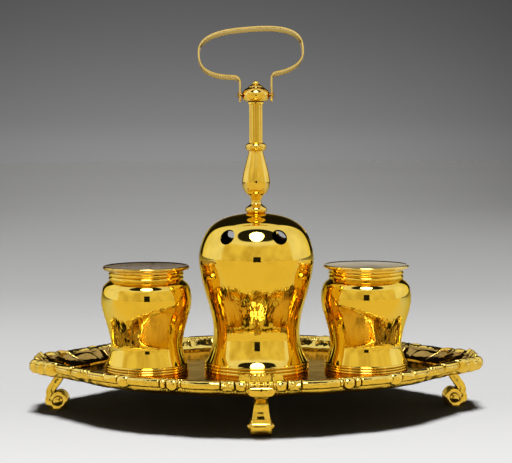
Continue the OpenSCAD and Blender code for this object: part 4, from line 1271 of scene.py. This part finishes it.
def borderSection(v, station):
    # one closed section: the roll, the band and cove, the lap on the tray and the underside
    width, floor = station["width"], heights["floor"]
    section = rollLine(v, station) + bandLine(v, station)
    section += [(width, floor + 0.05), (width - 0.1, floor), (width - v["lap"], floor),
                (width - v["lap"], heights["tray"])]
    for s, z in v["under"]:
        section.append((s - v["tickDepth"] * station["tick"] * smooth((z - 24.1) * 1.5), z))
    return section


def makeBorderHalf(v, name, first, last):
    # a flat grid whose points are laid on the sections, then closed to a tube
    stations = borderStations(v, first, last)
    sections = [borderSection(v, station) for station in stations]
    rings, sides = len(stations) - 1, len(sections[0])
    deselectAll()
    bpy.ops.mesh.primitive_grid_add(x_subdivisions=rings, y_subdivisions=sides, size=1)
    half = bpy.context.object
    half.name = name
    for vertex in half.data.vertices:
        i = round((vertex.co.x + 0.5) * rings)
        k = round((vertex.co.y + 0.5) * sides) % sides
        s, z = sections[i][k]
        point = stations[i]["rim"] + stations[i]["inward"] * s
        vertex.co = (point.x * mm, point.y * mm, z * mm)
    return half


castClouds = bpy.data.textures.new("castClouds", 'CLOUDS')
castClouds.noise_scale = 0.0035
castClouds.noise_depth = 2


def makeCasting(v, name, first, last, mirrorAxis):
    casting = makeBorderHalf(v, name, first, last)
    applyModifier(casting, 'MIRROR', use_axis=[mirrorAxis == 'X', mirrorAxis == 'Y', False],
                  merge_threshold=0.01 * mm)
    editAll()
    closeSkin(0.01)
    bpy.ops.mesh.select_all(action='DESELECT')
    bpy.ops.mesh.select_non_manifold()
    bpy.ops.mesh.fill_holes(sides=0)
    closeSkin(0.001)
    bpy.ops.object.mode_set(mode='OBJECT')
    return casting


def paintCoveShade(casting, material):
    # painted dark reflection: the ears' coves get a darker brass, standing in for the dark room that they
    # mirror
    casting.data.materials.append(material)
    for face in casting.data.polygons:
        if face.normal.z > 0.3 and face.center.z < (border["bandLow"] + 1.4) * mm:
            face.material_index = 1


rearBorder = makeCasting(border, "rearBorder", border["seam"], len(borderRows) - 1, 'X')
rightBorder = makeCasting(border, "rightBorder", 0, border["seam"], 'Y')
frontBorder = copyPiece(rearBorder, "frontBorder", turn=180)
leftBorder = copyPiece(rightBorder, "leftBorder", turn=180)
for casting, nodeName in ((frontBorder, "border_front"), (rearBorder, "border_rear"),
                          (leftBorder, "border_left"), (rightBorder, "border_right")):
    applyModifier(casting, 'DISPLACE', texture=castClouds, texture_coords='LOCAL',
                  strength=border["roughness"] * mm, mid_level=0.5)
    settle(casting, 60)
    place(casting, "stand", brass["cast"], nodeName)
    if casting in (leftBorder, rightBorder):
        paintCoveShade(casting, brass["cove"])
    print(casting.name, len(casting.data.polygons), "faces")
print("border cast")

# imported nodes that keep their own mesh
for nodeName, key in (("tray_plate", "tray"), ("foot_pins", "inside"), ("tie_rod", "iron"),
                      ("tie_washer", "iron"), ("tie_nut", "iron"), ("pot_screws", "iron"),
                      ("pot_washers", "iron")):
    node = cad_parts[nodeName]
    if not node.material_slots:
        node.data.materials.append(brass[key])
    for slot in node.material_slots:
        slot.material = brass[key]
